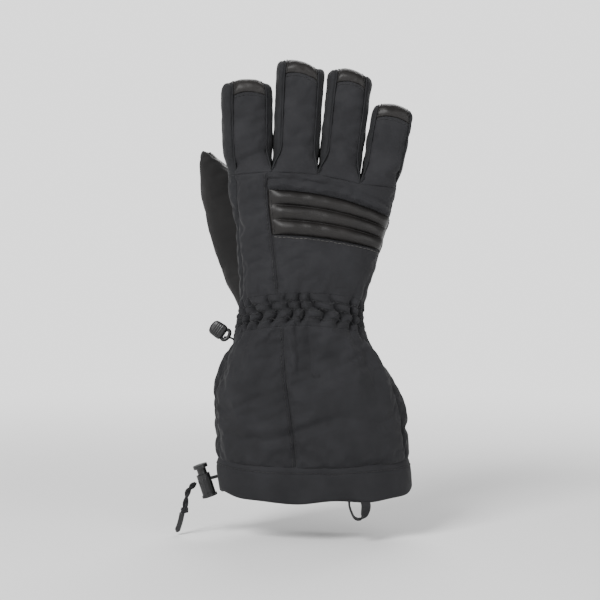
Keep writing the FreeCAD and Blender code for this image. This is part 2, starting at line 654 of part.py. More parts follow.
def cord_lock_barrel():
    """A barrel with a foot flange, bored from the top and pierced across for the two strands."""
    body = doc.addObject("PartDesign::Body", "barrel")
    pad(body, "barrel_wall", disc(body, "barrel_circle", "lock_r"), "lock_h")
    pad(body, "barrel_foot", disc(body, "foot_circle", "lock_foot_r"), "lock_foot_h")
    pocket(body, "barrel_bore", disc(body, "bore_circle", "lock_bore_r", "lock_floor"), "lock_h")
    eye = rectangle(body, "barrel_eye_sketch", "YZ_Plane", "eye_w", "eye_h", up="eye_z")
    pocket(body, "barrel_eye", eye, "4 * lock_r", both=True)
    body.Placement = lock_placement()
    return body


def cord_lock_plunger():
    """A button-headed plunger with a slot that grips the strands when the spring lifts it."""
    body = doc.addObject("PartDesign::Body", "plunger")
    pad(body, "plunger_stem", disc(body, "stem_circle", "plunger_r", "plunger_z"), "plunger_h")
    pad(body, "plunger_head", disc(body, "head_circle", "head_r", "plunger_z + plunger_h"), "head_h")
    up = "eye_z - strand_r - layer_gap + plunger_slot_h / 2"
    slot_w = "eye_w - 2 * seam_gap"
    slot = rectangle(body, "plunger_slot_sketch", "YZ_Plane", slot_w, "plunger_slot_h", up=up)
    pocket(body, "plunger_slot", slot, "4 * lock_r", both=True)
    body.Placement = lock_placement()
    return body


part("cord_lock_barrel", cord_lock_barrel())
part("cord_lock_plunger", cord_lock_plunger())


def cord_lock_spring():
    """A coil of wire between the barrel's floor and the plunger."""
    low = size("lock_floor") + size("spring_wire") + size("layer_gap")
    high = size("plunger_z") - size("spring_wire") - size("layer_gap")
    radius, wire = size("spring_r"), size("spring_wire")
    steps = int(size("spring_turns") * COIL_POINTS)
    points = []
    for i in range(steps + 1):
        angle = 2 * math.pi * i / COIL_POINTS
        height = low + (high - low) * i / steps
        points.append(FreeCAD.Vector(radius * math.cos(angle), radius * math.sin(angle), height))
    spine = Part.BSplineCurve()
    spine.interpolate(points)
    circle = Part.Circle(points[0], spine.tangent(spine.FirstParameter)[0], wire)
    coil = Part.Wire([spine.toShape()]).makePipeShell([Part.Wire([circle.toShape()])], True, True)
    feature = doc.addObject("Part::Feature", "spring")
    feature.Shape = coil
    feature.Placement = lock_placement()
    return feature


part("cord_lock_spring", cord_lock_spring())


def drawcord_lead():
    """The two strands of the drawcord from the hem through the lock's eye."""
    strands = []
    for word, side in (("palm", 1), ("back", -1)):
        y = f"{side} * ( strand_r + strand_gap / 2 )"
        length = "lead_len + lock_r"
        strands.append(rod(f"strand_{word}", "strand_r", length, "0 - lock_r", y, "eye_z", ALONG_X))
    pair = doc.addObject("Part::Compound", "strand_pair")
    pair.Links = strands
    pair.Placement = lock_placement()
    return pair


part("drawcord_lead", drawcord_lead())


def tail_frame(extra_turn=0.0, along=0.0, down=0.0):
    """A frame at the eye's outer mouth, moved out and down, turned about Y by the tail's own lean."""
    mouth = lock_placement().multVec(FreeCAD.Vector(-size("tail_start"), 0, size("eye_z")))
    turn = FreeCAD.Rotation(FreeCAD.Vector(0, 1, 0), extra_turn)
    return FreeCAD.Placement(mouth + FreeCAD.Vector(-along, 0, -down), turn)


def cord_tail():
    """The loose end of the doubled cord: out of the eye, then drooping to its knot."""
    tilt = math.radians(size("lock_tilt"))
    lean = math.radians(size("tail_lean"))
    leaving = FreeCAD.Vector(-math.cos(tilt), 0, -math.sin(tilt))
    falling = FreeCAD.Vector(-math.sin(lean), 0, -math.cos(lean))
    end = FreeCAD.Vector(-size("tail_reach"), 0, -size("tail_drop"))
    spine = Part.BSplineCurve()
    tangents = {"InitialTangent": leaving * end.Length, "FinalTangent": falling * end.Length}
    spine.interpolate([FreeCAD.Vector(), end], **tangents)
    path = Part.Wire([spine.toShape()])
    strands = []
    for side in (1, -1):
        shift = side * (size("strand_r") + size("strand_gap") / 2)
        circle = Part.Circle(FreeCAD.Vector(), leaving, size("strand_r")).toShape()
        strand = path.makePipeShell([Part.Wire([circle])], True, True)
        strand.translate(FreeCAD.Vector(0, shift, 0))
        strands.append(strand)
    feature = doc.addObject("Part::Feature", "tail")
    feature.Shape = Part.makeCompound(strands)
    feature.Placement = tail_frame()
    return feature


part("cord_tail", cord_tail())


def cord_end():
    """The knot in the doubled cord and the moulded toggle below it."""
    knot = doc.addObject("Part::Sphere", "knot")
    bind(knot, Radius="knot_r")
    place(knot, z="0 - knot_r - layer_gap")
    # the toggle is moulded about the lower half of the knot
    toggle = rod("toggle", "toggle_r", "toggle_h", z="0 - knot_r - layer_gap - toggle_h")
    end = fuse("tail_end", [knot, toggle])
    home = tail_frame(size("tail_lean"), size("tail_reach"), size("tail_drop"))
    return moved("cord_end_placed", end, home)


part("cord_end_toggle", cord_end())

# ---------------------------------------------------------------- hang loop and pair clip


def hang_loop():
    """A ring of webbing that hangs below the hem, with a short neck sewn into it."""
    face = FreeCAD.Rotation(FreeCAD.Vector(1, 0, 0), 90)
    ring = rod("loop_ring", "loop_r + web_t", "web_w", "0", "web_w / 2", "0", face)
    neck_h = "0 - loop_z - loop_gap"
    neck = block("loop_neck", "0 - web_t", "0 - web_w / 2", "0", "2 * web_t", "web_w", neck_h)
    hole = rod("loop_hole", "loop_r", "2 * web_w", "0", "web_w", "0", face)
    web = cut("loop_web", fuse("loop_outline", [ring, neck]), hole)
    return place(web, "loop_x", "loop_y", "loop_z")


part("hang_loop", hang_loop())


def clip_placement():
    """Where the clip's own frame lies: origin on its first bar, +X outwards."""
    turn = FreeCAD.Rotation(FreeCAD.Vector(0, 1, 0), 180 + size("clip_tilt"))
    return FreeCAD.Placement(FreeCAD.Vector(size("clip_x"), 0, size("clip_z")), turn)


def pair_clip():
    """A flat plastic ladder clip with two slots, one for its tab and one open to hook its mate."""
    body = doc.addObject("PartDesign::Body", "clip")
    middle = "clip_l / 2 - clip_bar / 2"
    plate = rectangle(body, "clip_plate_sketch", "XZ_Plane", "clip_l", "clip_w", across=middle)
    pad(body, "clip_plate", plate, "clip_t", both=True)
    slot_w, hook_w = "clip_w - 2 * clip_bar", "clip_w - clip_bar"
    at, next_at = "( clip_bar + clip_slot ) / 2", "3 * ( clip_bar + clip_slot ) / 2"
    slot = rectangle(body, "clip_slot_sketch", "XZ_Plane", "clip_slot", slot_w, across=at)
    pocket(body, "clip_slot", slot, "2 * clip_t", both=True)
    # the second slot is open on one side, so it reaches past the plate's edge by half a bar
    up = "clip_bar / 2"
    hook = rectangle(body, "clip_hook_sketch", "XZ_Plane", "clip_slot", hook_w, across=next_at, up=up)
    pocket(body, "clip_hook", hook, "2 * clip_t", both=True)
    body.Placement = clip_placement()
    return body


part("wrist_clip", pair_clip())


def clip_tab():
    """A short fold of webbing from the cuff seam, just short of the clip's bar."""
    width = "clip_w - 2 * clip_bar"
    corner = ("0 - tab_gap - tab_l", "0 - tab_t / 2", f"0 - ( {width} ) / 2")
    tab = block("tab", *corner, "tab_l", "tab_t", width)
    return moved("tab_placed", tab, clip_placement())


part("wrist_clip_tab", clip_tab())

# ---------------------------------------------------------------- check and write

doc.recompute()
for item in doc.Objects:
    if "Invalid" in item.State or "Error" in item.State:
        raise RuntimeError(f"{item.Name} did not recompute: {item.State}")
os.makedirs("parts", exist_ok=True)
for node, feature in parts.items():
    shape = feature.Shape
    if shape.isNull() or not shape.isValid() or not shape.Solids:
        raise RuntimeError(f"{node} is not a valid solid")
    shape.exportStep(f"parts/{node}.step")
print(len(parts), "sub-parts written")
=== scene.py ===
import json
import math

import bmesh
import bpy
import numpy as np
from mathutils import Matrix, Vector
from mathutils.bvhtree import BVHTree


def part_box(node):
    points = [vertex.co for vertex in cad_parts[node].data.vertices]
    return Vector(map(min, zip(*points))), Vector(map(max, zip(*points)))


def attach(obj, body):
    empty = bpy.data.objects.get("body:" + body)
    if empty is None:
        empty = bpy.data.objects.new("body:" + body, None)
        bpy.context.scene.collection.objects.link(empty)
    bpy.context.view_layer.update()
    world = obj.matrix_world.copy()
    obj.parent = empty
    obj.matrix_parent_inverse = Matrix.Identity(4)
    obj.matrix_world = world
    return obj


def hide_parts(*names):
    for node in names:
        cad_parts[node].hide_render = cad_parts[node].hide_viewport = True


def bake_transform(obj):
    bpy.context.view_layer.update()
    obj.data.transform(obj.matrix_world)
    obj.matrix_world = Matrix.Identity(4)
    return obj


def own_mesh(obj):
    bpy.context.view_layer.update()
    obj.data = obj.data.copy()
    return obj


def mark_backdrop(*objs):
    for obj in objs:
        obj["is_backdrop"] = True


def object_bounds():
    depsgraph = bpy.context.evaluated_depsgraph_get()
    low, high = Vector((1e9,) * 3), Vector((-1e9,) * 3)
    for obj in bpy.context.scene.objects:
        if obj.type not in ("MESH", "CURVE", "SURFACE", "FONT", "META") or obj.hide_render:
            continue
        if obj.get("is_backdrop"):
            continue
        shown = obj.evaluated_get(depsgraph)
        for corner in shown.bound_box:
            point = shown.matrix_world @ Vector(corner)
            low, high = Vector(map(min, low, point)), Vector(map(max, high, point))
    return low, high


# A right-hand ski glove. Shapes are worked out in millimetres in the row frame and turned into metres
# when a mesh is made. Its own sizes come from the CAD frame: outlines are slices of the CAD shells.

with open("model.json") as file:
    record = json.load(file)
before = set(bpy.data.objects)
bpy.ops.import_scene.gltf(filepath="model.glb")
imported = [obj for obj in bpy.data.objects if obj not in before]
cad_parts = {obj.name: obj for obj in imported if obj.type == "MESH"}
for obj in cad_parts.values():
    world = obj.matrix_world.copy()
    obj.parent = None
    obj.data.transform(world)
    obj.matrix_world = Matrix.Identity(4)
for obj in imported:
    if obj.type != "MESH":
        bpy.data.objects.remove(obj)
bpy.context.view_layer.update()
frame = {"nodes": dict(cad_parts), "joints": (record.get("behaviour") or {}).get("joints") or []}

MM = 0.001
FINGERS = ("index", "middle", "ring", "little")
JOINTS = {j["name"]: j for j in frame["joints"]}
TAU = 2 * math.pi


# ------------------------------------------------------------------ the CAD frame, measured


def joint_place(name):
    """A hinge's point, in millimetres."""
    return np.array(JOINTS[name]["pos_m"]) / MM


def edges_of(nodes):
    """Every mesh edge of some CAD nodes as an array of end points, in millimetres."""
    found = []
    for name in nodes:
        mesh = frame["nodes"][name].data
        points = np.array([v.co for v in mesh.vertices]) / MM
        found.append(points[np.array([e.vertices[:] for e in mesh.edges])])
    return np.concatenate(found)


def slice_extent(edges, z):
    """Lowest and highest x, then lowest and highest y, where edges cross height z."""
    low, high = edges[:, 0, 2], edges[:, 1, 2]
    e = edges[((low - z) * (high - z) <= 0) & (abs(high - low) > 1e-6)]
    t = (z - e[:, 0, 2]) / (e[:, 1, 2] - e[:, 0, 2])
    p = e[:, 0] + t[:, None] * (e[:, 1] - e[:, 0])
    return p[:, 0].min(), p[:, 0].max(), p[:, 1].min(), p[:, 1].max()


SHELL_NODES = [
    n for n in frame["nodes"]
    if n.startswith(("cuff_", "hand_", "palm_leather", "wrist_shirring", "knuckle_band"))
    and not n.endswith(("lining", "insulation"))
] + ["hem_band"]
WEB_Z = joint_place("middle_finger_bend")[2]
ROOT_DEPTH = 20.0
WHOLE_Z = min(joint_place(f"{finger}_finger_bend")[2] for finger in FINGERS) - ROOT_DEPTH
SLICE_STEP = 2.0
SLICE_Z = np.arange(SLICE_STEP, WEB_Z - SLICE_STEP, SLICE_STEP)


def smooth(values, reach):
    """A running mean whose ends are held."""
    padded = np.pad(values, reach, mode="edge")
    return np.convolve(padded, np.ones(2 * reach + 1) / (2 * reach + 1), mode="valid")


def outline_table():
    """Middle x, half width and half depth of the glove's hand and cuff at every slice height.

    The shells are cut away at the finger roots, so above those the outline goes on as it was going.
    """
    edges = edges_of(SHELL_NODES)
    whole = SLICE_Z[SLICE_Z < WHOLE_Z]
    rows = np.array([slice_extent(edges, z) for z in whole])
    run = 4
    slope = (rows[-1] - rows[-1 - run]) / (whole[-1] - whole[-1 - run])
    above = rows[-1] + slope * (SLICE_Z[len(whole):, None] - whole[-1])
    rows = np.concatenate([rows, above])
    middle = (rows[:, 0] + rows[:, 1]) / 2
    width = (rows[:, 1] - rows[:, 0]) / 2
    depth = (rows[:, 3] - rows[:, 2]) / 2
    return [smooth(column, 4) for column in (middle, width, depth)]


MIDDLE_X, HALF_WIDTH, HALF_DEPTH = outline_table()
BAND = joint_place("wrist_bend")
BAND_SLOPE = math.tan(math.radians(24))


# ------------------------------------------------------------------ small maths


def ramp(x, start, end):
    """0 before start, 1 after end, smooth between."""
    t = np.clip((np.asarray(x, float) - start) / (end - start), 0, 1)
    return t * t * (3 - 2 * t)


def mix(a, b, t):
    return a + (b - a) * t


def ripple(points, wavelength, waves=7, seed=0):
    """A smooth random field in space, about -1 to 1, made of a few sine waves."""
    own = np.random.default_rng(seed)
    total = np.zeros(points.shape[:-1])
    for _ in range(waves):
        direction = own.normal(size=3)
        direction /= np.linalg.norm(direction)
        k = TAU / (wavelength * own.uniform(0.7, 1.5))
        total += np.sin(points @ direction * k + own.uniform(0, TAU))
    return total / math.sqrt(waves)


def smooth_path(points, count=120):
    """A smooth line through a few points."""
    points = np.asarray(points, float)
    fine = np.linspace(0, len(points) - 1, count)
    i = np.clip(fine.astype(int), 0, len(points) - 2)
    f = (fine - i)[:, None]
    slope = np.gradient(points, axis=0)
    start = (2 * f ** 3 - 3 * f ** 2 + 1) * points[i] + (f ** 3 - 2 * f ** 2 + f) * slope[i]
    return start + (-2 * f ** 3 + 3 * f ** 2) * points[i + 1] + (f ** 3 - f ** 2) * slope[i + 1]


def unit(v):
    return v / np.maximum(np.linalg.norm(v, axis=-1, keepdims=True), 1e-9)


def grid_normals(grid):
    """Normals of a grid of points, from its rows and columns."""
    du = np.gradient(grid, axis=1)
    dv = np.gradient(grid, axis=0)
    return unit(np.cross(du, dv))


# ------------------------------------------------------------------ the tube of cuff and hand


def squareness(z):
    """Superellipse power of the outline: round at the cuff, squarer at the knuckles."""
    return mix(2.35, 3.0, ramp(z, 60, 200))


def tube(q, z):
    """A point on the outline at height z. q is -1 thumb edge, 0 middle of the back, 1 little edge, 2 palm."""
    n = squareness(z)
    s, c = np.sin(q * math.pi / 2), np.cos(q * math.pi / 2)
    k = (abs(s) ** n + abs(c) ** n) ** (-1 / n)
    x = np.interp(z, SLICE_Z, MIDDLE_X) + np.interp(z, SLICE_Z, HALF_WIDTH) * s * k
    y = -np.interp(z, SLICE_Z, HALF_DEPTH) * c * k
    return np.stack([x, y, z + 0 * x], axis=-1)


def q_at(x, z, palm=False):
    """The q of the tube's point at x, on the back or on the palm."""
    n = squareness(z)
    share = (x - np.interp(z, SLICE_Z, MIDDLE_X)) / np.interp(z, SLICE_Z, HALF_WIDTH)
    size = np.clip(abs(share), 0, 0.9999) ** n
    q = np.sign(share) * np.arctan((size / (1 - size)) ** (1 / n)) * 2 / math.pi
    return 2 - q if palm else q


def tube_out(q, z):
    """The level direction straight out of the tube."""
    step = 0.01
    along = tube(q + step, z) - tube(q - step, z)
    return unit(np.stack([along[..., 1], -along[..., 0], 0 * along[..., 0]], axis=-1))


GATHER_WAVES = 12
GATHER_BROAD = 8.5
GATHER_DEPTH = 7.0
PUFF_ROWS = 6.0


def band_height(q):
    """Height of the middle of the elastic at q: lower on the palm than on the back."""
    return BAND[2] + BAND_SLOPE * 25 * np.cos(np.asarray(q) * math.pi / 2)


def gathers(q, z):
    """Ruffles at the elastic: puffs between the rows of stitches, and folds that fade up and down from them."""
    h = z - band_height(q)
    turn = q * math.pi / 2
    wander = 0.5 * np.sin(3 * turn + 1.1) + 0.35 * np.sin(7 * turn + 0.4) + 0.2 * np.sin(13 * turn)
    step = 0.75 * np.tanh(h / 1.6) + 0.5 * np.tanh((h - PUFF_ROWS) / 2) - 0.5 * np.tanh((h + PUFF_ROWS) / 2)
    lean = step + 0.25 * np.sin(5 * turn) * h / 6
    fine = abs(np.sin(GATHER_WAVES * turn + wander + lean)) ** 0.8
    broad = abs(np.sin(GATHER_BROAD * turn + 1.6 * wander - 0.3 * lean)) ** 0.75
    near = np.exp(-((h / 11) ** 4))
    far = np.exp(-np.maximum(abs(h) - 8, 0) / np.where(h > 0, 8.0, 15.0)) * (1 - near)
    rows = np.clip(sum(np.exp(-(((h - k * PUFF_ROWS) / 1.2) ** 2)) for k in (-1, 0, 1)), 0, 1)
    ruffle = GATHER_DEPTH * (near * (fine - 0.6) + 0.55 * far * (broad - 0.62))
    return ruffle * (1 - 0.35 * rows) - 0.7 * rows


# ------------------------------------------------------------------ meshes


def new_object(name, vertices, faces, material, smooth_faces=True):
    """A mesh object from points in millimetres."""
    mesh = bpy.data.meshes.new(name)
    mesh.from_pydata((np.asarray(vertices) * MM).tolist(), [], faces)
    mesh.update()
    made = bpy.data.objects.new(name, mesh)
    bpy.context.scene.collection.objects.link(made)
    mesh.polygons.foreach_set("use_smooth", [smooth_faces] * len(mesh.polygons))
    mesh.materials.append(material)
    return made


def grid_faces(rows, cols, closed=False, start=0):
    """Quads of a grid of points, with its last column joined to its first if closed."""
    faces = []
    for i in range(rows - 1):
        for j in range(cols if closed else cols - 1):
            k = (j + 1) % cols
            faces.append((start + i * cols + j, start + i * cols + k, start + (i + 1) * cols + k, start + (i + 1) * cols + j))
    return faces


def border_distance(grid, sides):
    """Distance in millimetres from each grid point to the nearest of the named borders."""
    rows, cols = grid.shape[:2]
    across = np.concatenate([np.zeros((rows, 1)), np.cumsum(np.linalg.norm(np.diff(grid, axis=1), axis=2), axis=1)], axis=1)
    along = np.concatenate([np.zeros((1, cols)), np.cumsum(np.linalg.norm(np.diff(grid, axis=0), axis=2), axis=0)], axis=0)
    far = np.full((rows, cols), 1e3)
    choices = {
        "left": across,
        "right": across[:, -1:] - across,
        "low": along,
        "high": along[-1:, :] - along,
    }
    for side in sides:
        far = np.minimum(far, choices[side])
    return far


ALL_SIDES = "left right low high"
SEAM_DEPTH = 1.5
SEAM_REACH = 2.6
PUCKER = 0.3
RUN_ON_LIFT = 0.5
RUN_ON_REACH = 7.0


def pinch(distance, depth=SEAM_DEPTH, reach=SEAM_REACH):
    """How far a seam pulls the cloth in, at a distance from it."""
    return -depth * np.exp(-((distance / reach) ** 1.3))


def select_only(thing):
    bpy.ops.object.select_all(action="DESELECT")
    thing.select_set(True)
    bpy.context.view_layer.objects.active = thing


SIM_FRAMES = 14
MOST_DRIFT = 3.0


def hold_border(thing, rows, cols):
    """Marks a grid's outer points as sewn down."""
    index = np.arange(rows * cols).reshape(rows, cols)
    border = set(index[0]) | set(index[-1]) | set(index[:, 0]) | set(index[:, -1])
    thing.vertex_groups.new(name="held").add([int(i) for i in border], 1.0, "REPLACE")


def weld_points(thing, reach=0.02):
    """Joins points that lie on each other."""
    shape = bmesh.new()
    shape.from_mesh(thing.data)
    bmesh.ops.remove_doubles(shape, verts=shape.verts, dist=reach * MM)
    shape.to_mesh(thing.data)
    shape.free()


def settle(thing, pressure, growth):
    """Lets a panel find its folds: cloth with its seams held, slightly too large for its frame, pushed outwards."""
    rest = np.array([v.co for v in thing.data.vertices])
    cloth = thing.modifiers.new("cloth", "CLOTH")
    cloth.settings.vertex_group_mass = "held"
    cloth.settings.quality = 6
    cloth.settings.mass = 0.25
    cloth.settings.tension_stiffness = 18
    cloth.settings.compression_stiffness = 14
    cloth.settings.shear_stiffness = 8
    cloth.settings.bending_stiffness = 0.9
    cloth.settings.shrink_min = -growth
    cloth.settings.use_pressure = True
    cloth.settings.uniform_pressure_force = pressure
    cloth.settings.effector_weights.gravity = 0
    cloth.collision_settings.use_collision = False
    cloth.point_cache.frame_start = 1
    cloth.point_cache.frame_end = SIM_FRAMES
    scene = bpy.context.scene
    for frame_number in range(1, SIM_FRAMES + 1):
        scene.frame_set(frame_number)
    evaluated = thing.evaluated_get(bpy.context.evaluated_depsgraph_get())
    shift = np.array([v.co for v in evaluated.data.vertices]) - rest
    thing.modifiers.remove(cloth)
    scene.frame_set(1)
    size = np.linalg.norm(shift, axis=1, keepdims=True)
    shift *= np.minimum(1, MOST_DRIFT * MM / np.maximum(size, 1e-9))
    shift[~np.isfinite(shift).all(axis=1)] = 0
    thing.data.vertices.foreach_set("co", (rest + shift).ravel())
    thing.data.update()


def thicken(thing, thickness, levels=1):
    """Gives a panel its cloth thickness inwards and rounds its grid."""
    if levels:
        round_off = thing.modifiers.new("round", "SUBSURF")
        round_off.levels = round_off.render_levels = levels
        round_off.boundary_smooth = "PRESERVE_CORNERS"
    solid = thing.modifiers.new("cloth", "SOLIDIFY")
    solid.thickness = thickness * MM
    solid.offset = -1
    return bake(thing)


def bake(thing):
    """Applies every modifier of an object."""
    select_only(thing)
    for modifier in list(thing.modifiers):
        bpy.ops.object.modifier_apply(modifier=modifier.name)
    return thing



def panel(name, grid, material, seams=ALL_SIDES, runs_on="", puff=0.8, growth=0.02, pressure=2.0,
          thickness=1.2, extra=None, depth=SEAM_DEPTH, weld=False, settles=True):
    """A sewn panel over a grid of points: pinched at its seams, puffed between, with folds from a cloth run.

    At the sides it runs on from, it meets the next piece at one common height, so that no line shows there.
    """
    normals = grid_normals(grid)
    distance = border_distance(grid, seams.split())
    lift = pinch(distance, depth) + puff * (1 - np.exp(-distance / 9))
    lift = lift + 0.3 * ripple(grid, 26) * ramp(distance, 0, 8) + 0.16 * ripple(grid, 11, seed=4)
    lift = lift + PUCKER * ripple(grid, 6.5, seed=2) * np.exp(-distance / 5) * ramp(distance, 0, 1.5)
    lift = mix(RUN_ON_LIFT, lift, ramp(border_distance(grid, runs_on.split()), 0, RUN_ON_REACH))
    if extra is not None:
        lift = lift + extra
    final = grid + normals * lift[..., None]
    rows, cols = grid.shape[:2]
    made = new_object(name, final.reshape(-1, 3), grid_faces(rows, cols), material)
    hold_border(made, rows, cols)
    if weld:
        weld_points(made)
    if settles:
        settle(made, pressure, growth)
    made.vertex_groups.clear()
    return thicken(made, thickness)


def tube_along(path, radius, sides=8, ends=True):
    """Vertices and faces of a round tube along a path of points."""
    path = np.asarray(path, float)
    tangent = unit(np.gradient(path, axis=0))
    reference = np.array([0.0, 0.0, 1.0]) if abs(tangent[0, 2]) < 0.9 else np.array([1.0, 0.0, 0.0])
    side = unit(np.cross(tangent[0], reference))
    rings = []
    radii = np.broadcast_to(radius, len(path))
    for point, along, r in zip(path, tangent, radii):
        side = unit(side - along * (side @ along))
        other = np.cross(along, side)
        angles = np.arange(sides) * TAU / sides
        rings.append(point + r * (np.cos(angles)[:, None] * side + np.sin(angles)[:, None] * other))
    vertices = np.concatenate(rings)
    faces = grid_faces(len(path), sides, closed=True)
    if ends:
        faces.append(tuple(range(sides))[::-1])
        faces.append(tuple(len(vertices) - sides + i for i in range(sides)))
    return vertices, faces


def gather_meshes(name, pieces, material):
    """One object from several lists of vertices and faces."""
    vertices, faces, start = [], [], 0
    for v, f in pieces:
        vertices.append(v)
        faces += [tuple(i + start for i in face) for face in f]
        start += len(v)
    return new_object(name, np.concatenate(vertices), faces, material)


def resample(path, spacing):
    """The path as points an even distance apart."""
    lengths = np.concatenate([[0], np.cumsum(np.linalg.norm(np.diff(path, axis=0), axis=1))])
    count = max(2, int(lengths[-1] / spacing) + 1)
    even = np.linspace(0, lengths[-1], count)
    return np.stack([np.interp(even, lengths, path[:, i]) for i in range(3)], axis=1)


def offset_line(grid, side, inset):
    """A line on a panel's surface a few millimetres in from one border, with its normals."""
    normals = grid_normals(grid)
    if side in ("low", "high"):
        grid, normals = grid.transpose(1, 0, 2), normals.transpose(1, 0, 2)
        side = "left" if side == "low" else "right"
    if side == "right":
        grid, normals = grid[:, ::-1], normals[:, ::-1]
    points, ups = [], []
    for row, up in zip(grid, normals):
        lengths = np.concatenate([[0], np.cumsum(np.linalg.norm(np.diff(row, axis=0), axis=1))])
        points.append([np.interp(inset, lengths, row[:, i]) for i in range(3)])
        ups.append([np.interp(inset, lengths, up[:, i]) for i in range(3)])
    return np.array(points), unit(np.array(ups))


STITCH_LENGTH = 2.3
STITCH_GAP = 0.9
THREAD = 0.24


def stitches(points, ups, lift=0.1):
    """Thread stitches along a line: each a short rounded rod that dips into the cloth at both ends."""
    made = []
    lengths = np.concatenate([[0], np.cumsum(np.linalg.norm(np.diff(points, axis=0), axis=1))])
    step = STITCH_LENGTH + STITCH_GAP
    for i in range(int(lengths[-1] / step)):
        at = i * step + STITCH_GAP + STITCH_LENGTH * np.array([0, 0.2, 0.5, 0.8, 1.0])
        centre = np.stack([np.interp(at, lengths, points[:, k]) for k in range(3)], axis=1)
        up = np.stack([np.interp(at, lengths, ups[:, k]) for k in range(3)], axis=1)
        bow = np.array([-0.25, 0.75, 1.0, 0.75, -0.25]) * THREAD + lift
        made.append(tube_along(centre + up * bow[:, None], THREAD, sides=5))
    return made


# ------------------------------------------------------------------ materials


def node(tree, kind, **values):
    made = tree.nodes.new(kind)
    for name, value in values.items():
        if name in made.inputs:
            made.inputs[name].default_value = value
        else:
            setattr(made, name, value)
    return made


def base_material(name, color, roughness, sheen=0.0, coat=0.0, specular=0.5):
    """A principled material and its tree, shader and object coordinates."""
    material = bpy.data.materials.new(name)
    material.use_nodes = True
    tree = material.node_tree
    shader = tree.nodes["Principled BSDF"]
    shader.inputs["Base Color"].default_value = (*color, 1)
    shader.inputs["Roughness"].default_value = roughness
    shader.inputs["Sheen Weight"].default_value = sheen
    shader.inputs["Sheen Roughness"].default_value = 0.5
    shader.inputs["Coat Weight"].default_value = coat
    shader.inputs["Specular IOR Level"].default_value = specular
    where = node(tree, "ShaderNodeTexCoord").outputs["Object"]
    return material, tree, shader, where


def link(tree, a, b):
    tree.links.new(a, b)


def vary_color(tree, shader, where, dark, light, scale, detail=4.0):
    """Blotchy colour between two tones."""
    noise = node(tree, "ShaderNodeTexNoise", Scale=scale, Detail=detail)
    link(tree, where, noise.inputs["Vector"])
    blend = node(tree, "ShaderNodeValToRGB")
    blend.color_ramp.elements[0].position, blend.color_ramp.elements[1].position = 0.32, 0.68
    blend.color_ramp.elements[0].color, blend.color_ramp.elements[1].color = (*dark, 1), (*light, 1)
    link(tree, noise.outputs["Fac"], blend.inputs["Fac"])
    link(tree, blend.outputs["Color"], shader.inputs["Base Color"])
    return noise, blend


def vary_roughness(tree, shader, source, low, high):
    spread = node(tree, "ShaderNodeMapRange")
    spread.inputs["To Min"].default_value = low
    spread.inputs["To Max"].default_value = high
    link(tree, source, spread.inputs["Value"])
    link(tree, spread.outputs["Result"], shader.inputs["Roughness"])


def bump(tree, shader, height, strength, distance, below=None):
    made = node(tree, "ShaderNodeBump")
    made.inputs["Strength"].default_value = strength
    made.inputs["Distance"].default_value = distance
    link(tree, height, made.inputs["Height"])
    if below is not None:
        link(tree, below.outputs["Normal"], made.inputs["Normal"])
    link(tree, made.outputs["Normal"], shader.inputs["Normal"])
    return made


def maths(tree, operation, a, b=0.0, c=0.0):
    made = node(tree, "ShaderNodeMath", operation=operation)
    for value, socket in zip((a, b, c), made.inputs):
        if isinstance(value, (int, float)):
            socket.default_value = value
        else:
            link(tree, value, socket)
    return made.outputs[0]


def weave_height(tree, where, thread):
    """Height of a plain weave whose threads are this far apart, in metres, the same all round the glove."""
    parts = node(tree, "ShaderNodeSeparateXYZ")
    link(tree, where, parts.inputs[0])
    wave = TAU / (2 * thread)
    sideways = maths(tree, "MULTIPLY_ADD", parts.outputs["Y"], 0.7, parts.outputs["X"])
    across = maths(tree, "SINE", maths(tree, "MULTIPLY", sideways, wave))
    along = maths(tree, "SINE", maths(tree, "MULTIPLY", parts.outputs["Z"], wave))
    return maths(tree, "MULTIPLY", across, along)


def woven(name, dark, light, thread, roughness, sheen, strength=0.35):
    """Plain-weave cloth, its colour painted darker in the weave's hollows and lighter on its crowns."""
    material, tree, shader, where = base_material(name, light, roughness, sheen=sheen, specular=0.2)
    _, tones = vary_color(tree, shader, where, dark, light, 55)
    height = weave_height(tree, where, thread)
    # painted shade and highlight: the weave's height scales the colour from 0.8 in the hollows between threads to 1.15
    # on their crowns
    shade = node(tree, "ShaderNodeMix", data_type="RGBA", blend_type="MULTIPLY")
    shade.inputs["Factor"].default_value = 1.0
    level = node(tree, "ShaderNodeMapRange")
    level.inputs["From Min"].default_value, level.inputs["To Min"].default_value = -1, 0.8
    level.inputs["To Max"].default_value = 1.15
    link(tree, height, level.inputs["Value"])
    grey = node(tree, "ShaderNodeCombineColor")
    for channel in grey.inputs:
        link(tree, level.outputs["Result"], channel)
    link(tree, tones.outputs["Color"], shade.inputs["A"])
    link(tree, grey.outputs["Color"], shade.inputs["B"])
    link(tree, shade.outputs["Result"], shader.inputs["Base Color"])
    slub = node(tree, "ShaderNodeTexNoise", Scale=420.0, Detail=3.0)
    link(tree, where, slub.inputs["Vector"])
    lumps = bump(tree, shader, slub.outputs["Fac"], 0.12, 0.0006)
    bump(tree, shader, height, strength, 0.00018, lumps)
    return material


def grained(name, dark, light, roughness, grain=900.0, strength=0.4, coat=0.0, sheen=0.0):
    """Leather: pebbled cells over soft creases."""
    material, tree, shader, where = base_material(name, light, roughness, sheen=sheen, coat=coat, specular=0.32)
    noise, _ = vary_color(tree, shader, where, dark, light, 38)
    vary_roughness(tree, shader, noise.outputs["Fac"], roughness - 0.09, roughness + 0.12)
    creases = node(tree, "ShaderNodeTexNoise", Scale=130.0, Detail=6.0, Roughness=0.6)
    link(tree, where, creases.inputs["Vector"])
    cells = node(tree, "ShaderNodeTexVoronoi", feature="SMOOTH_F1", Scale=grain)
    link(tree, where, cells.inputs["Vector"])
    soft = bump(tree, shader, creases.outputs["Fac"], 0.22, 0.0012)
    bump(tree, shader, cells.outputs["Distance"], strength, 0.00022, soft)
    return material


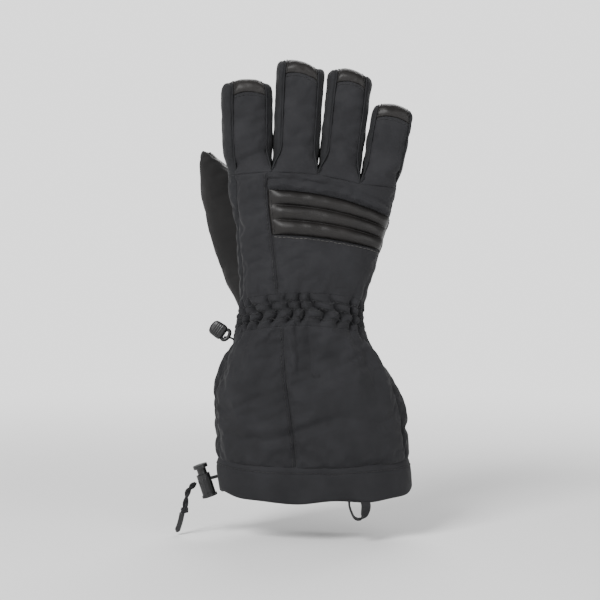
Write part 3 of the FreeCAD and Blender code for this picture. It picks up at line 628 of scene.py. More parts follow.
def moulded(name, color, roughness):
    """Fine-textured moulded plastic with faint wear."""
    material, tree, shader, where = base_material(name, color, roughness)
    noise, _ = vary_color(tree, shader, where, color, tuple(1.5 * c for c in color), 160)
    vary_roughness(tree, shader, noise.outputs["Fac"], roughness - 0.08, roughness + 0.1)
    spark = node(tree, "ShaderNodeTexNoise", Scale=2600.0, Detail=2.0)
    link(tree, where, spark.inputs["Vector"])
    bump(tree, shader, spark.outputs["Fac"], 0.15, 0.00008)
    return material


def drawn_metal(name, color, roughness):
    material, tree, shader, where = base_material(name, color, roughness)
    shader.inputs["Metallic"].default_value = 1.0
    noise, _ = vary_color(tree, shader, where, tuple(0.8 * c for c in color), color, 900)
    vary_roughness(tree, shader, noise.outputs["Fac"], roughness, roughness + 0.15)
    return material


def piled(name, dark, light, scale=1500.0):
    """Fleece or wadding: short fibres."""
    material, tree, shader, where = base_material(name, light, 0.95, sheen=0.1, specular=0.15)
    vary_color(tree, shader, where, dark, light, 300)
    fibres = node(tree, "ShaderNodeTexNoise", Scale=scale, Detail=5.0)
    link(tree, where, fibres.inputs["Vector"])
    bump(tree, shader, fibres.outputs["Fac"], 0.8, 0.0008)
    return material


SHELL = woven("shell_fabric", (0.0105, 0.0105, 0.0120), (0.0155, 0.0155, 0.0175), 0.00042, 0.8, 0.05)
DARK_SHELL = woven("gusset_fabric", (0.0085, 0.0087, 0.0098), (0.0130, 0.0132, 0.0148), 0.00042, 0.82, 0.05)
LEATHER = grained("palm_leather", (0.0042, 0.0036, 0.0034), (0.0084, 0.0071, 0.0066), 0.50)
SUEDE = grained("thumb_suede", (0.0055, 0.0052, 0.0052), (0.0090, 0.0086, 0.0086), 0.92, 1800.0, 0.7, sheen=0.06)
THREAD_DARK = woven("sewing_thread", (0.012, 0.012, 0.013), (0.026, 0.026, 0.027), 0.0002, 0.6, 0.05)
THREAD_LIGHT = woven("contrast_thread", (0.05, 0.048, 0.046), (0.09, 0.086, 0.082), 0.0002, 0.6, 0.05)
FLEECE = piled("fleece", (0.010, 0.010, 0.011), (0.018, 0.018, 0.020))
ELASTIC = woven("elastic", (0.014, 0.014, 0.015), (0.024, 0.024, 0.026), 0.0006, 0.7, 0.05, 0.8)
CORD = woven("cord", (0.008, 0.008, 0.009), (0.018, 0.018, 0.020), 0.00035, 0.6, 0.08, 0.8)
WEBBING = woven("webbing", (0.008, 0.008, 0.009), (0.016, 0.016, 0.018), 0.0007, 0.6, 0.08, 0.9)
PLASTIC = moulded("moulded_plastic", (0.0050, 0.0050, 0.0056), 0.40)
STEEL = drawn_metal("spring_steel", (0.55, 0.55, 0.57), 0.28)


# ------------------------------------------------------------------ placing pieces


def joins(thing, place, slot, *nodes):
    """Ties a piece to a body; given two bodies and the stretch between them, it only fixes the piece where it stands.
    It hides the CAD parts that the piece stands for.
    """
    if isinstance(place, str):
        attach(thing, place)
    else:
        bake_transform(thing)
    if nodes:
        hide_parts(*nodes)
    return thing


def stitch_rows(name, thing, lines, material, place, slot="shell_fabric"):
    """Rows of stitches laid on a finished piece."""
    tree = bvh_of(thing)
    made = []
    for points, ups in lines:
        points = resample(points, 1.5)
        laid, normals = [], []
        for p in points:
            spot, normal, _, _ = tree.find_nearest(Vector(p * MM))
            laid.append(np.array(spot) / MM)
            normals.append(np.array(normal))
        made += stitches(np.array(laid), np.array(normals))
    if not made:
        return None
    return joins(gather_meshes(name, made, material), place, slot)


def bvh_of(thing):
    shape = bmesh.new()
    shape.from_mesh(thing.data)
    tree = BVHTree.FromBMesh(shape)
    shape.free()
    return tree


def inset_lines(grid, *wanted):
    """Lines a little above a grid, inset from its borders: (side, inset) pairs."""
    lines = []
    for side, inset in wanted:
        points, ups = offset_line(grid, side, inset)
        lines.append((points + ups, ups))
    return lines


def piping(name, path, material, place, slot="shell_fabric", radius=0.6):
    """A thin folded edge along a seam."""
    vertices, faces = tube_along(resample(np.asarray(path), 2.0), radius, sides=6)
    return joins(new_object(name, vertices, faces, material), place, slot)


# ------------------------------------------------------------------ where fingers meet the hand


def finger_frame(finger):
    """A finger's hinge, its own X and Z directions, and its size, all from the CAD."""
    hinge = joint_place(f"{finger}_finger_bend")
    axis = np.array(JOINTS[f"{finger}_finger_bend"]["axis"])
    across = -unit(axis)
    up = np.cross(across, [0, 1.0, 0])
    nodes = [f"{finger}_{p}" for p in ("back_panel", "leather_strip", "fourchette_thumb_side", "fourchette_little_side")]
    edges = edges_of(nodes) - hinge
    local = np.stack([edges @ across, edges[..., 1], edges @ up], axis=-1)
    length = local[..., 2].max()
    low, high = (slice_extent(local, length * share) for share in (0.12, 0.7))
    return {
        "hinge": hinge, "across": across, "up": up, "length": length,
        "half_width": (low[1] - low[0]) / 2, "top_half_width": (high[1] - high[0]) / 2, "half_depth": (high[3] - high[2]) / 2,
    }


FRAMES = {f: finger_frame(f) for f in FINGERS}
WEB_RISE = 5.0


def web_points():
    """x and height of the glove's edge above the knuckles: outer side, three crotches, outer side."""
    x = [FRAMES["index"]["hinge"][0] - FRAMES["index"]["half_width"]]
    z = [FRAMES["index"]["hinge"][2] + WEB_RISE / 2]
    for near, far in zip(FINGERS[:-1], FINGERS[1:]):
        a, b = FRAMES[near], FRAMES[far]
        x.append((a["hinge"][0] + a["half_width"] + b["hinge"][0] - b["half_width"]) / 2)
        z.append(min(a["hinge"][2], b["hinge"][2]) + WEB_RISE)
    x.append(FRAMES["little"]["hinge"][0] + FRAMES["little"]["half_width"])
    z.append(FRAMES["little"]["hinge"][2] + WEB_RISE / 2)
    return np.array(x), np.array(z)


WEB_X, WEB_HEIGHT = web_points()


def web(x):
    return np.interp(x, WEB_X, WEB_HEIGHT)


THUMB_SEAM_PALM = -1.20
LITTLE_SEAM_BACK, LITTLE_SEAM_PALM = 0.93, 1.07


def thumb_seam_x(z):
    """x of the seam on the back's thumb side, leaning outwards as it rises to the index finger."""
    return mix(-43.0, -47.6, ramp(z, 139, 238))


def q_on_web(x, palm=False):
    """q of the glove's edge at x, kept between the side seams."""
    q = q_at(x, web(x), palm)
    if palm:
        return np.clip(q, LITTLE_SEAM_PALM, THUMB_SEAM_PALM + 4)
    return np.clip(q, q_at(thumb_seam_x(web(x)), web(x)), LITTLE_SEAM_BACK)


def edge_point(q):
    """The point of the hand's upper edge at q."""
    x = tube(q, np.full_like(np.asarray(q, float), WEB_HEIGHT.mean()))[..., 0]
    return tube(np.asarray(q, float), web(x))


# ------------------------------------------------------------------ fingers

TIP_ROUND = 11.0
TIP_DOME = 1.3
TIP_SLANT = {"index": 0.2, "middle": 2.4, "ring": 1.1, "little": 0.3}
WALL_TOP = 9.5
WALL_SWELL = 0.4
EDGE_SHARE = 0.84
# how far the middle band reaches to the thumb side and to the little side, in half widths
BACK_REACH = {"index": (-0.57, 0.83), "middle": (-0.69, 0.83), "ring": (-0.67, 0.81), "little": (-0.87, 0.95)}
PALM_REACH = {"index": (-0.9, 0.3), "middle": (-0.9, 0.3), "ring": (-0.9, 0.3), "little": (-0.67, 0.53)}
TURN_SHARE = 0.72
MORPH = 20.0
CAP = 10.0


class Finger:
    """The surfaces of one finger: a band over back, tip and palm, and a wall down each side."""

    def __init__(self, name):
        self.name = name
        self.frame = FRAMES[name]
        i = FINGERS.index(name)
        self.left_x, self.right_x = WEB_X[i], WEB_X[i + 1]
        self.outer_left, self.outer_right = i == 0, i == 3
        self.base_q = {
            "back": (q_on_web(self.left_x), q_on_web(self.right_x)),
            "palm": (q_on_web(self.left_x, True), q_on_web(self.right_x, True)),
        }

    def to_row(self, x, y, z):
        f = self.frame
        return f["hinge"] + np.asarray(x)[..., None] * f["across"] + np.asarray(z)[..., None] * f["up"] + np.stack(
            [0 * y, y, 0 * y], axis=-1)

    def inner_side(self, side):
        """1 for a side that faces another finger, 0 for an outer one."""
        return 0 if (self.outer_left if side < 0 else self.outer_right) else 1

    def half_width(self, z):
        f = self.frame
        return mix(f["half_width"], f["top_half_width"], ramp(z, 0, 0.6 * f["length"]))

    def profile(self, t, depth, length):
        """Depth and height along half of the band: t is 0 at the base and 1 over the tip."""
        straight = length - TIP_ROUND
        angle = np.clip((t - TURN_SHARE) / (1 - TURN_SHARE), 0, 1) * math.pi / 2
        c, s = np.cos(angle), np.sin(angle)
        k = (c ** 2.5 + s ** 2.5) ** (-1 / 2.5)
        height = np.where(t < TURN_SHARE, t / TURN_SHARE * straight, straight + TIP_ROUND * s * k)
        return depth * c * k, height

    def band_x(self, u, w, z):
        """x of the band's point at u; it moves over towards the thumb between back and palm."""
        back, palm = BACK_REACH[self.name], PALM_REACH[self.name]
        over = ramp(w, 0.8, 1.25)
        share = mix(mix(back[0], palm[0], over), mix(back[1], palm[1], over), (u + 1) / 2)
        near_tip = 1 - 0.05 * ramp(z, self.frame["length"] - 20, self.frame["length"])
        return share * self.half_width(z) * near_tip

    def upper(self, u, w):
        """The band above the base: u from -1 to 1 across, w from 0 up the back to 2 down the palm."""
        t = np.where(w <= 1, w, 2 - w)
        f = self.frame
        round_off = 1 - abs(u) ** 2.2
        depth = f["half_depth"] * mix(EDGE_SHARE, 1, round_off)
        length = f["length"] - TIP_DOME * (1 - round_off) - TIP_SLANT[self.name] * (1 + u)
        y, z = self.profile(t, depth, length)
        y = np.where(w <= 1, -y, y)
        return self.band_x(u, w, z), y, z

    def morph(self, point, base, z, base_z):
        """Joins the finger to the hand: all base at its foot, all finger further up."""
        rise = z - base_z
        share = ramp(rise, 0, MORPH)[..., None]
        return mix(base + rise[..., None] * self.frame["up"], point, share)

    def from_base(self, z, base_z):
        """Heights that begin at the glove's edge and reach the tip unchanged."""
        return z + base_z * (1 - np.clip(z / (self.frame["length"] - TIP_ROUND), 0, 1))

    def band(self, u, w):
        x, y, z = self.upper(u, w)
        face = np.where(w <= 1, 0, 1)
        ends = [self.base_q["back"], self.base_q["palm"]]
        q = np.where(face == 0, mix(ends[0][0], ends[0][1], (u + 1) / 2), mix(ends[1][0], ends[1][1], (u + 1) / 2))
        base = edge_point(q)
        base_z = (base - self.frame["hinge"]) @ self.frame["up"]
        z = self.from_base(z, base_z)
        return self.morph(self.to_row(x, y, z), base, z, base_z)

    def wall(self, side, w, r):
        """A side wall: w round its U-shaped edge, r from the edge (0) to the wall's middle line (1)."""
        x, y, z = self.upper(np.full_like(w, side), w)
        angle = r * math.pi / 2
        middle = side * (self.half_width(z) + WALL_SWELL * (self.inner_side(side)))
        top = self.frame["length"] - WALL_TOP
        wall_x = x + (middle - x) * np.sin(angle)
        wall_y = y * np.cos(angle)
        wall_z = mix(z, np.minimum(z, top), 1 - np.cos(angle))
        index = 0 if side < 0 else 1
        q_back, q_palm = self.base_q["back"][index], self.base_q["palm"][index]
        outer = self.outer_left if side < 0 else self.outer_right
        if outer:
            q_palm = q_palm - 4 if side < 0 else q_palm
            q_middle = (q_back + q_palm) / 2
            q = mix(np.where(w <= 1, q_back, q_palm), q_middle, r)
            base = edge_point(q)
        else:
            back, palm = edge_point(np.array(q_back)), edge_point(np.array(q_palm))
            base = mix(np.where((w <= 1)[..., None], back, palm), (back + palm) / 2, r[..., None])
        base_z = (base - self.frame["hinge"]) @ self.frame["up"]
        wall_z = self.from_base(wall_z, base_z)
        return self.morph(self.to_row(wall_x, wall_y, wall_z), base, wall_z, base_z)


def crease(distance, depth, reach):
    """A soft fold: a groove with a low swell beside it."""
    return -depth * np.exp(-((distance / reach) ** 2)) + 0.35 * depth * np.exp(-(((abs(distance) - 2 * reach) / reach) ** 2))


LOW_FOLD = {"index": 0.17, "middle": 0.1, "ring": 0.1, "little": 0.12}
HIGH_FOLD = {"index": 0.55, "middle": 0.52, "ring": 0.5, "little": 0.5}
CAP_W, CAP_CURVE = 0.745, 0.03
BAND_COLS = 17


def band_grid(rows, start, end):
    """Grid over a finger's band between two lines, each w as a function of u."""
    u, v = np.meshgrid(np.linspace(-1, 1, BAND_COLS), np.linspace(0, 1, rows))
    return u, mix(start(u), end(u), v)


def cap_line(u):
    """Where leather takes over from cloth near the tip, lower at the sides."""
    return CAP_W - CAP_CURVE * u ** 2


def build_finger(name):
    """All of one finger's cloth, from the glove's upper edge to its tip."""
    finger = Finger(name)
    f = finger.frame
    length = f["length"]
    start = f["hinge"] + f["up"] * WEB_RISE
    place = ("hand", f"{name}_finger", start, start + f["up"] * 24)

    u, w = band_grid(30, lambda u: 0 * u, cap_line)
    height = w / TURN_SHARE * (length - TIP_ROUND)
    bend = crease(height - (LOW_FOLD[name] + 0.06 * u) * length, 1.6 if name == "index" else 0.9, 3.0)
    grid = finger.band(u, w)
    made = panel(f"{name}_back_panel_skin", grid, SHELL, "left right high", "low", puff=0.9, extra=bend)
    joins(made, place, "shell_fabric", f"{name}_back_panel")
    stitch_rows(f"{name}_back_stitching", made, inset_lines(grid, ("high", 1.9)), THREAD_DARK, place)

    u, w = band_grid(46, cap_line, lambda u: 2 + 0 * u)
    height = (2 - w) / TURN_SHARE * (length - TIP_ROUND)
    bend = crease(height - HIGH_FOLD[name] * length + 2 * u, 1.3, 2.2) + crease(height - 0.24 * length - 3 * u, 0.7, 2.6)
    grid = finger.band(u, w)
    made = panel(f"{name}_leather_strip_skin", grid, LEATHER, "left right low", "high", puff=0.7, growth=0.012,
                 extra=bend * ramp(w, 1.15, 1.25), depth=1.1)
    joins(made, place, "palm_leather", f"{name}_leather_strip", f"{name}_insulation", f"{name}_lining")
    edges = inset_lines(grid, ("left", 1.8), ("right", 1.8))
    stitch_rows(f"{name}_leather_stitching", made, edges, THREAD_DARK, place, "palm_leather")

    for side, word in ((-1, "thumb"), (1, "little")):
        w, r = np.meshgrid(np.linspace(0, 2, 64), np.linspace(0, 1, 9), indexing="ij")
        wall = finger.wall(side, w, r)
        if side < 0:
            wall = wall[:, ::-1]
        seams = "right" if side < 0 else "left"
        made = panel(f"{name}_fourchette_{word}_side_skin", wall, DARK_SHELL, seams, "low high", puff=0.5, growth=0.012,
                     weld=True)
        joins(made, place, "shell_fabric", f"{name}_fourchette_{word}_side")
        edge = finger.band(np.full(90, float(side)), np.linspace(0.01, 1.99, 90))
        inward = unit(f["hinge"] + f["up"] * length * 0.4 - edge)
        piping(f"{name}_seam_{word}_side", edge + inward * 0.9, DARK_SHELL, place)


for finger_name in FINGERS:
    build_finger(finger_name)


# ------------------------------------------------------------------ hand


def q_grid(left, right, low, high, cols, rows):
    """A grid of (q, z) between two side borders given as functions of z and two heights given as functions of q."""
    U, V = np.meshgrid(np.linspace(0, 1, cols), np.linspace(0, 1, rows))
    q = mix(left(0 * U + 190), right(0 * U + 190), U)
    for _ in range(3):
        z = mix(low(q), high(q), V)
        q = mix(left(z), right(z), U)
    return q, z


def constant(value):
    return lambda z: np.full_like(np.asarray(z, float), value)


def back_q(line):
    """q on the back of a seam given as x for each height."""
    return lambda z: q_at(line(z), z)


PAD = [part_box("knuckle_pad")[k] / MM for k in (0, 1)]
PAD_LEFT = PAD[0][0] - 2.0
PAD_TOP, PAD_LOW = PAD[1][2] + 4, PAD[0][2] + 3
RIB_BAND = 7.5


def seam_x(z):
    """x of the seam up the back, leaning towards the thumb as it rises."""
    return mix(-15.5, PAD_LEFT, ramp(z, 140, 240))


def sag(x, reach, drop, start=PAD_LEFT):
    return drop * np.clip((x - start) / reach, 0, 1.2) ** 2


def x_of(q, z=215.0):
    return tube(q, np.full_like(np.asarray(q, float), z))[..., 0]


def pad_top(q):
    return PAD_TOP - sag(x_of(q), 88, 19)


def pad_low(q):
    return PAD_LOW - sag(x_of(q), 80, 9)


def upper_edge(q):
    return web(edge_point(q)[..., 0])


PALM_SLANT = 8.0


def wrist_top(q):
    """Where the shirred stretch ends and the hand begins: on the palm it rises towards the thumb."""
    slant = np.where(q > 1, -PALM_SLANT * np.sin(math.pi * (q - 1)), 0)
    return band_height(q) + 12 + slant


HAND = "hand"
SIDE_Q = constant(1.0)


def hand_panel(name, left, right, low, high, cols, rows, material, slot, nodes, seams=ALL_SIDES, runs_on="", **options):
    """A panel on the tube of the hand, with the gathers running into it."""
    q, z = q_grid(left, right, low, high, cols, rows)
    grid = tube(q, z)
    extra = gathers(q, z) * options.pop("ruffle", 1.0) + options.pop("shape", lambda q, z: 0 * q)(q, z)
    made = panel(name, grid, material, seams, runs_on, extra=extra, **options)
    joins(made, HAND, slot, *nodes)
    return made, grid


def soft_folds(q, z):
    """Low folds across the back of the hand."""
    return 0.35 * np.sin(z / 9 + 2 * q) * ramp(z, 150, 175) * (1 - ramp(z, 205, 225))


THUMB_SEAM = back_q(thumb_seam_x)
made, grid = hand_panel("hand_index_side_panel_skin", constant(THUMB_SEAM_PALM), THUMB_SEAM, wrist_top, upper_edge, 20, 60,
                        DARK_SHELL, "shell_fabric", ["hand_index_side_panel"], "left right", "low high", puff=0.6)

made, grid = hand_panel("hand_back_panel_thumb_side_skin", THUMB_SEAM, back_q(seam_x), wrist_top, upper_edge, 20, 76, SHELL,
                        "shell_fabric", ["hand_back_panel_thumb_side", "hand_insulation", "hand_lining"], "left right",
                        "low high", shape=soft_folds)
stitch_rows("hand_back_seam_stitching", made, inset_lines(grid, ("right", 1.8)), THREAD_DARK, HAND)

made, grid = hand_panel("hand_back_panel_skin", back_q(seam_x), SIDE_Q, wrist_top, pad_low, 46, 40, SHELL, "shell_fabric",
                        ["hand_back_panel"], "left high", "low right", shape=soft_folds)
stitch_rows("pad_lower_stitching", made, inset_lines(grid, ("high", 1.6)), THREAD_LIGHT, HAND)


def knuckle_rib(q, z):
    """The padded cloth rib above the leather ones, with a fold over it."""
    above = z - pad_top(q)
    rib = 1.7 * np.exp(-(((above - 3.6) / 2.9) ** 2)) - 1.3 * np.exp(-(((above - RIB_BAND) / 1.5) ** 2))
    return rib * (1 - 0.9 * ramp(q, 0.6, 0.92))


made, grid = hand_panel("knuckle_band_skin", back_q(seam_x), SIDE_Q, pad_top, upper_edge, 56, 20, SHELL, "shell_fabric",
                        ["knuckle_band"], "left low", "high right", shape=knuckle_rib, puff=0.5, depth=0.9)

RIBS = 3


def quilted_pad():
    """The leather knuckle pad: three rounded ribs side by side, flattening towards their ends."""
    q, z = q_grid(back_q(seam_x), SIDE_Q, pad_low, pad_top, 60, 46)
    grid = tube(q, z)
    share = (z - pad_low(q)) / (pad_top(q) - pad_low(q))
    rib = abs(np.sin(math.pi * RIBS * share)) ** 0.55
    across = border_distance(grid, ["left"])
    ends = ramp(across, 0, 10) * (1 - 0.96 * ramp(q, 0.5, 0.86))
    extra = (3.6 * rib - 1.0) * ends + 0.25 * ripple(grid, 14, seed=5) * rib
    made = panel("knuckle_pad_skin", grid, LEATHER, "left", "right", puff=0.0, growth=0.0, extra=extra, depth=0.8, settles=False)
    joins(made, HAND, "palm_leather", "knuckle_pad")
    stitch_rows("knuckle_pad_stitching", made, inset_lines(grid, ("left", 1.7)), THREAD_DARK, HAND)


quilted_pad()

# ------------------------------------------------------------------ palm

PALM_SEAM_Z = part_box("palm_leather_upper")[0][2] / MM + 21


def palm_seam(q):
    """The curved double seam below the fingers."""
    x = x_of(q)
    return PALM_SEAM_Z - 20 * np.clip((x + 5) / 73, 0, 1.1) ** 1.8


PATCH_LINE = smooth_path([(12, 222), (15, 207), (27, 199), (43, 193), (62, 187)])
CENTRE_LINE = smooth_path([(-24, 209), (-7, 207), (6, 200), (13, 189), (16, 172), (16.5, 149), (14.5, 133)])
RIDGE_LINE = CENTRE_LINE + [7, 0]
THENAR_LINE = smooth_path([(-20, 209), (-11, 202), (-4, 191), (-1, 172), (-4, 157), (-14, 140)])


def line_distance(line, x, z):
    flat = np.stack([x.ravel(), z.ravel()], axis=1)
    gaps = np.linalg.norm(flat[:, None, :] - line[None, :, :], axis=2)
    return gaps.min(axis=1).reshape(x.shape)


def palm_channels(q, z):
    """Sewn channels that shape the palm, with padding between them."""
    x = tube(q, z)[..., 0]
    patch, centre = line_distance(PATCH_LINE, x, z), line_distance(CENTRE_LINE, x, z)
    thenar, ridge = line_distance(THENAR_LINE, x, z), line_distance(RIDGE_LINE, x, z)
    inland = 1 - ramp(x, 40, 55)
    cut = sum(crease(d, depth, 1.7) for d, depth in ((patch, 1.3 * inland), (centre, 1.5), (thenar, 1.5)))
    fill = 1.1 * np.exp(-((ridge / 4.5) ** 2)) * ramp(z, 135, 150) * (1 - ramp(z, 200, 210))
    wrinkle = 0.45 * ripple(np.stack([x, 0 * x, z], axis=-1), 17, seed=8)
    return cut + fill + wrinkle * ramp(z, 128, 150)


PALM_LEFT, PALM_RIGHT = constant(1.0), constant(THUMB_SEAM_PALM + 4)


made, grid = hand_panel("palm_leather_lower_skin", PALM_LEFT, PALM_RIGHT, wrist_top, palm_seam, 96, 80, LEATHER,
                        "palm_leather", ["palm_leather_lower", "palm_reinforcement_patch"], "right low high", "left",
                        shape=palm_channels,
                        ruffle=0.25, growth=0.01, depth=1.2)
stitch_rows("palm_seam_stitching", made, inset_lines(grid, ("high", 1.4), ("high", 3.6), ("low", 1.8)), THREAD_LIGHT, HAND,
            "palm_leather")


def palm_folds(q, z):
    return 0.5 * ripple(tube(q, z), 15, seed=21)


made, grid = hand_panel("palm_leather_upper_skin", PALM_LEFT, PALM_RIGHT, palm_seam, upper_edge, 70, 22, LEATHER,
                        "palm_leather", ["palm_leather_upper"], "right low", "high left", shape=palm_folds, puff=0.4,
                        growth=0.01, depth=1.2)
stitch_rows("palm_upper_stitching", made, inset_lines(grid, ("low", 1.4)), THREAD_DARK, HAND, "palm_leather")

# ------------------------------------------------------------------ thumb

THUMB_ROOT = joint_place("thumb_swing")
THUMB_NODES = ["thumb_leather_face", "thumb_side_gusset", "thumb_suede_back"]
THUMB_STEP = 4.0
THUMB_FOOT = 131.0
THENAR_SPREAD = 13.0
THUMB_SINK = 5.0
INNER_DIP = 9.0


def thumb_table():
    """Height, middle x, middle y, half width and half depth of the thumb.

    Above its root the CAD thumb is measured. Below it the thumb runs down into the heel of the palm.
    """
    edges = edges_of(THUMB_NODES)
    top = edges[..., 2].max()
    heights = np.arange(THUMB_ROOT[2] + 8, top - 7, THUMB_STEP)
    rows = []
    for z in heights:
        x0, x1, y0, y1 = slice_extent(edges, z)
        x1 += THENAR_SPREAD * (1 - ramp(z, 192, 230))
        middle_y = (y0 + y1) / 2 - THUMB_SINK * (1 - ramp(z, 170, 230))
        rows.append((z, (x0 + x1) / 2, middle_y, (x1 - x0) / 2, (y1 - y0) / 2 + 1))
    x, y, width, depth = rows[-1][1:]
    # the tip narrows to a point over the thumb's outer edge
    rows += [
        (top - 5, x - 2.6, y, width * 0.72, depth * 0.86),
        (top - 1.8, x - 4.2, y + 0.2, width * 0.48, depth * 0.64),
        (top, x - 5.0, y + 0.4, 2.6, 2.2),
    ]
    foot = [
        (THUMB_FOOT, -26.5, 11.0, 14.0, 9.5),
        (THUMB_FOOT + 14, -26.0, 15.5, 21.0, 13.5),
        (THUMB_FOOT + 28, -26.5, 20.0, 27.0, 16.0),
    ]
    return np.array(foot + rows)


THUMB_TABLE = thumb_table()
THUMB_TOP = THUMB_TABLE[-1, 0]


def thumb_section(z):
    """Centre, half width and half depth of the thumb at a height."""
    table = THUMB_TABLE
    fine = np.linspace(THUMB_FOOT, THUMB_TOP, 260)
    columns = []
    for k in range(1, 5):
        line = np.interp(fine, table[:, 0], table[:, k])
        soft = smooth(line, 8)
        keep = ramp(fine, THUMB_TOP - 9, THUMB_TOP - 4)
        columns.append(np.interp(z, fine, mix(soft, line, keep)))
    x, y, width, depth = columns
    return np.stack([x, y, np.asarray(z, float)], axis=-1), width, depth


def thumb_surface(angle, z):
    """angle runs from the inner edge (0) over the front (90 degrees) to the outer edge and the back."""
    centre, width, depth = thumb_section(z)
    c, s = np.cos(np.radians(angle)), np.sin(np.radians(angle))
    k = (abs(c) ** THUMB_POWER + abs(s) ** THUMB_POWER) ** (-1 / THUMB_POWER)
    dip = INNER_DIP * np.clip(c * k, 0, 1) ** 1.5 * (1 - ramp(z, 200, 230))
    return centre + np.stack([width * c * k, depth * s * k - dip, 0 * width], axis=-1)


THUMB_UP = unit(thumb_section(THUMB_TOP)[0] - THUMB_ROOT)
THUMB_PLACE = (HAND, "thumb", THUMB_ROOT + THUMB_UP * -12 + [0, -10, 0], THUMB_ROOT + THUMB_UP * 36 + [0, -6, 0])
LEATHER_EDGE = -30.0
THUMB_POWER = 2.3


def thumb_angle(points):
    """The angle round the thumb, for each height, of a seam drawn through a few (x, z) points."""
    x, height = np.array(points, float).T

    def angle(z):
        centre, width, _ = thumb_section(z)
        share = np.clip((np.interp(z, height, x) - centre[..., 0]) / width, -0.985, 0.985)
        size = abs(share) ** THUMB_POWER
        turned = np.degrees(np.arctan(((1 - size) / np.maximum(size, 1e-9)) ** (1 / THUMB_POWER)))
        return np.where(share > 0, turned, 180 - turned)

    return angle


PIPED_EDGE = thumb_angle([(-17, 131), (-42, 194), (-67, 249), (-70, 262)])
SUEDE_EDGE = thumb_angle([(-34, 131), (-57, 185), (-69, 228), (-74, 262)])


def thumb_panel(name, first, last, material, slot, nodes, cols, **options):
    """A long panel of the thumb between two seam angles; the angles close up at the foot."""
    A, Z = np.meshgrid(np.linspace(0, 1, cols), np.linspace(THUMB_FOOT, THUMB_TOP, 84))
    grid = thumb_surface(mix(first(Z), last(Z), A), Z)
    made = panel(name, grid, material, "left right", **options)
    joins(made, THUMB_PLACE, slot, *nodes)
    return made, grid


made, grid = thumb_panel("thumb_leather_face_skin", constant(LEATHER_EDGE), PIPED_EDGE, LEATHER, "palm_leather",
                         ["thumb_leather_face", "thumb_insulation", "thumb_lining"], 26, puff=1.0, growth=0.012)
stitch_rows("thumb_piped_edge_stitching", made, inset_lines(grid, ("right", 2.0)), THREAD_DARK, THUMB_PLACE, "palm_leather")
made, grid = thumb_panel("thumb_side_gusset_skin", PIPED_EDGE, SUEDE_EDGE, SHELL, "shell_fabric", ["thumb_side_gusset"],
                         14, puff=0.5, growth=0.015)
made, grid = thumb_panel("thumb_suede_back_skin", SUEDE_EDGE, constant(LEATHER_EDGE + 360), SUEDE, "thumb_suede", ["thumb_suede_back"],
                         40, puff=0.6, growth=0.015)
for name, angle, material in (("thumb_piping", PIPED_EDGE, LEATHER), ("thumb_outer_seam", SUEDE_EDGE, DARK_SHELL)):
    z = np.linspace(THUMB_FOOT, THUMB_TOP - 1, 90)
    line = thumb_surface(angle(z), z)
    centre, _, _ = thumb_section(z)
    piping(name, line + unit(centre - line) * 0.7, material, THUMB_PLACE, radius=0.8 if "piping" in name else 0.5)

# ------------------------------------------------------------------ wrist


UNDERLAP = 4.0


def wrist_low(q):
    return band_height(q) - 12


def shirring_top(q):
    """The shirred sleeve runs up a little way under the hand's panels on the palm."""
    return wrist_top(q) + UNDERLAP * ramp(abs(q - 2), 1.0, 0.7)


def wrist_shirring():
    """The gathered sleeve of cloth over the elastic, all round the wrist."""
    q, z = q_grid(constant(-1.0), constant(3.0), wrist_low, shirring_top, 520, 40)
    grid = tube(q, z)
    final = grid + grid_normals(grid) * (RUN_ON_LIFT + gathers(q, z))[..., None]
    made = new_object("wrist_shirring_skin", final.reshape(-1, 3), grid_faces(40, 520), SHELL)
    weld_points(made, 0.3)
    thicken(made, 0.9, levels=0)
    pivot = BAND
    joins(made, ("cuff", HAND, pivot - [0, 0, 11], pivot + [0, 0, 11]), "shell_fabric", "wrist_shirring")
    lines = []
    for height in (-6.0, 0.0, 6.0):
        q = np.linspace(-1, 3, 400)
        line = tube(q, band_height(q) + height)
        out = tube_out(q, band_height(q) + height)
        lines.append((line + 2.0 * out, out))
    stitch_rows("wrist_elastic_stitching", made, lines, THREAD_DARK, ("cuff", HAND, pivot - [0, 0, 11], pivot + [0, 0, 11]))


wrist_shirring()

# ------------------------------------------------------------------ cuff

CUFF = "cuff"
HEM_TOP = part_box("hem_band")[1][2] / MM
CUFF_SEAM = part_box("cuff_back_panel_thumb_side")[1][0] / MM


def hem_top(q):
    return HEM_TOP + 3 * np.sin(np.asarray(q) * math.pi / 2) ** 2


def cuff_seam_x(z):
    return mix(CUFF_SEAM + 5, CUFF_SEAM - 4, ramp(z, 20, 120))


def cuff_folds(q, z):
    """Soft folds that fall from the gathers down the gauntlet, and slack creases above the hem."""
    turn = q * math.pi / 2
    below = ramp(wrist_low(q) - z, 0, 16)
    fall = ramp(z, 38, 95) * below
    waves = np.sin(9 * turn + 0.7 * np.sin(2 * turn) + z / 40) + 0.7 * np.sin(14 * turn + 1.3 - z / 30)
    broad = np.sin(3 * turn + z / 22) + np.sin(2 * turn - z / 31 + 1)
    slack = crease(z - 52 - 7 * np.sin(2 * turn + 0.6) - 3 * np.sin(5 * turn), 1.3, 3.6) * (0.6 + 0.4 * np.sin(3 * turn + 2))
    return 1.6 * waves * fall + 1.5 * broad * ramp(z, 24, 50) * below + 1.5 * slack


def cuff_panel(name, left, right, cols, material, nodes, seams, rows=52):
    q, z = q_grid(left, right, hem_top, wrist_low, cols, rows)
    grid = tube(q, z)
    made = panel(name, grid, material, seams, "high", extra=gathers(q, z) + cuff_folds(q, z), puff=0.9, growth=0.03,
                 pressure=2.5)
    joins(made, CUFF, "shell_fabric", *nodes)
    return made, grid


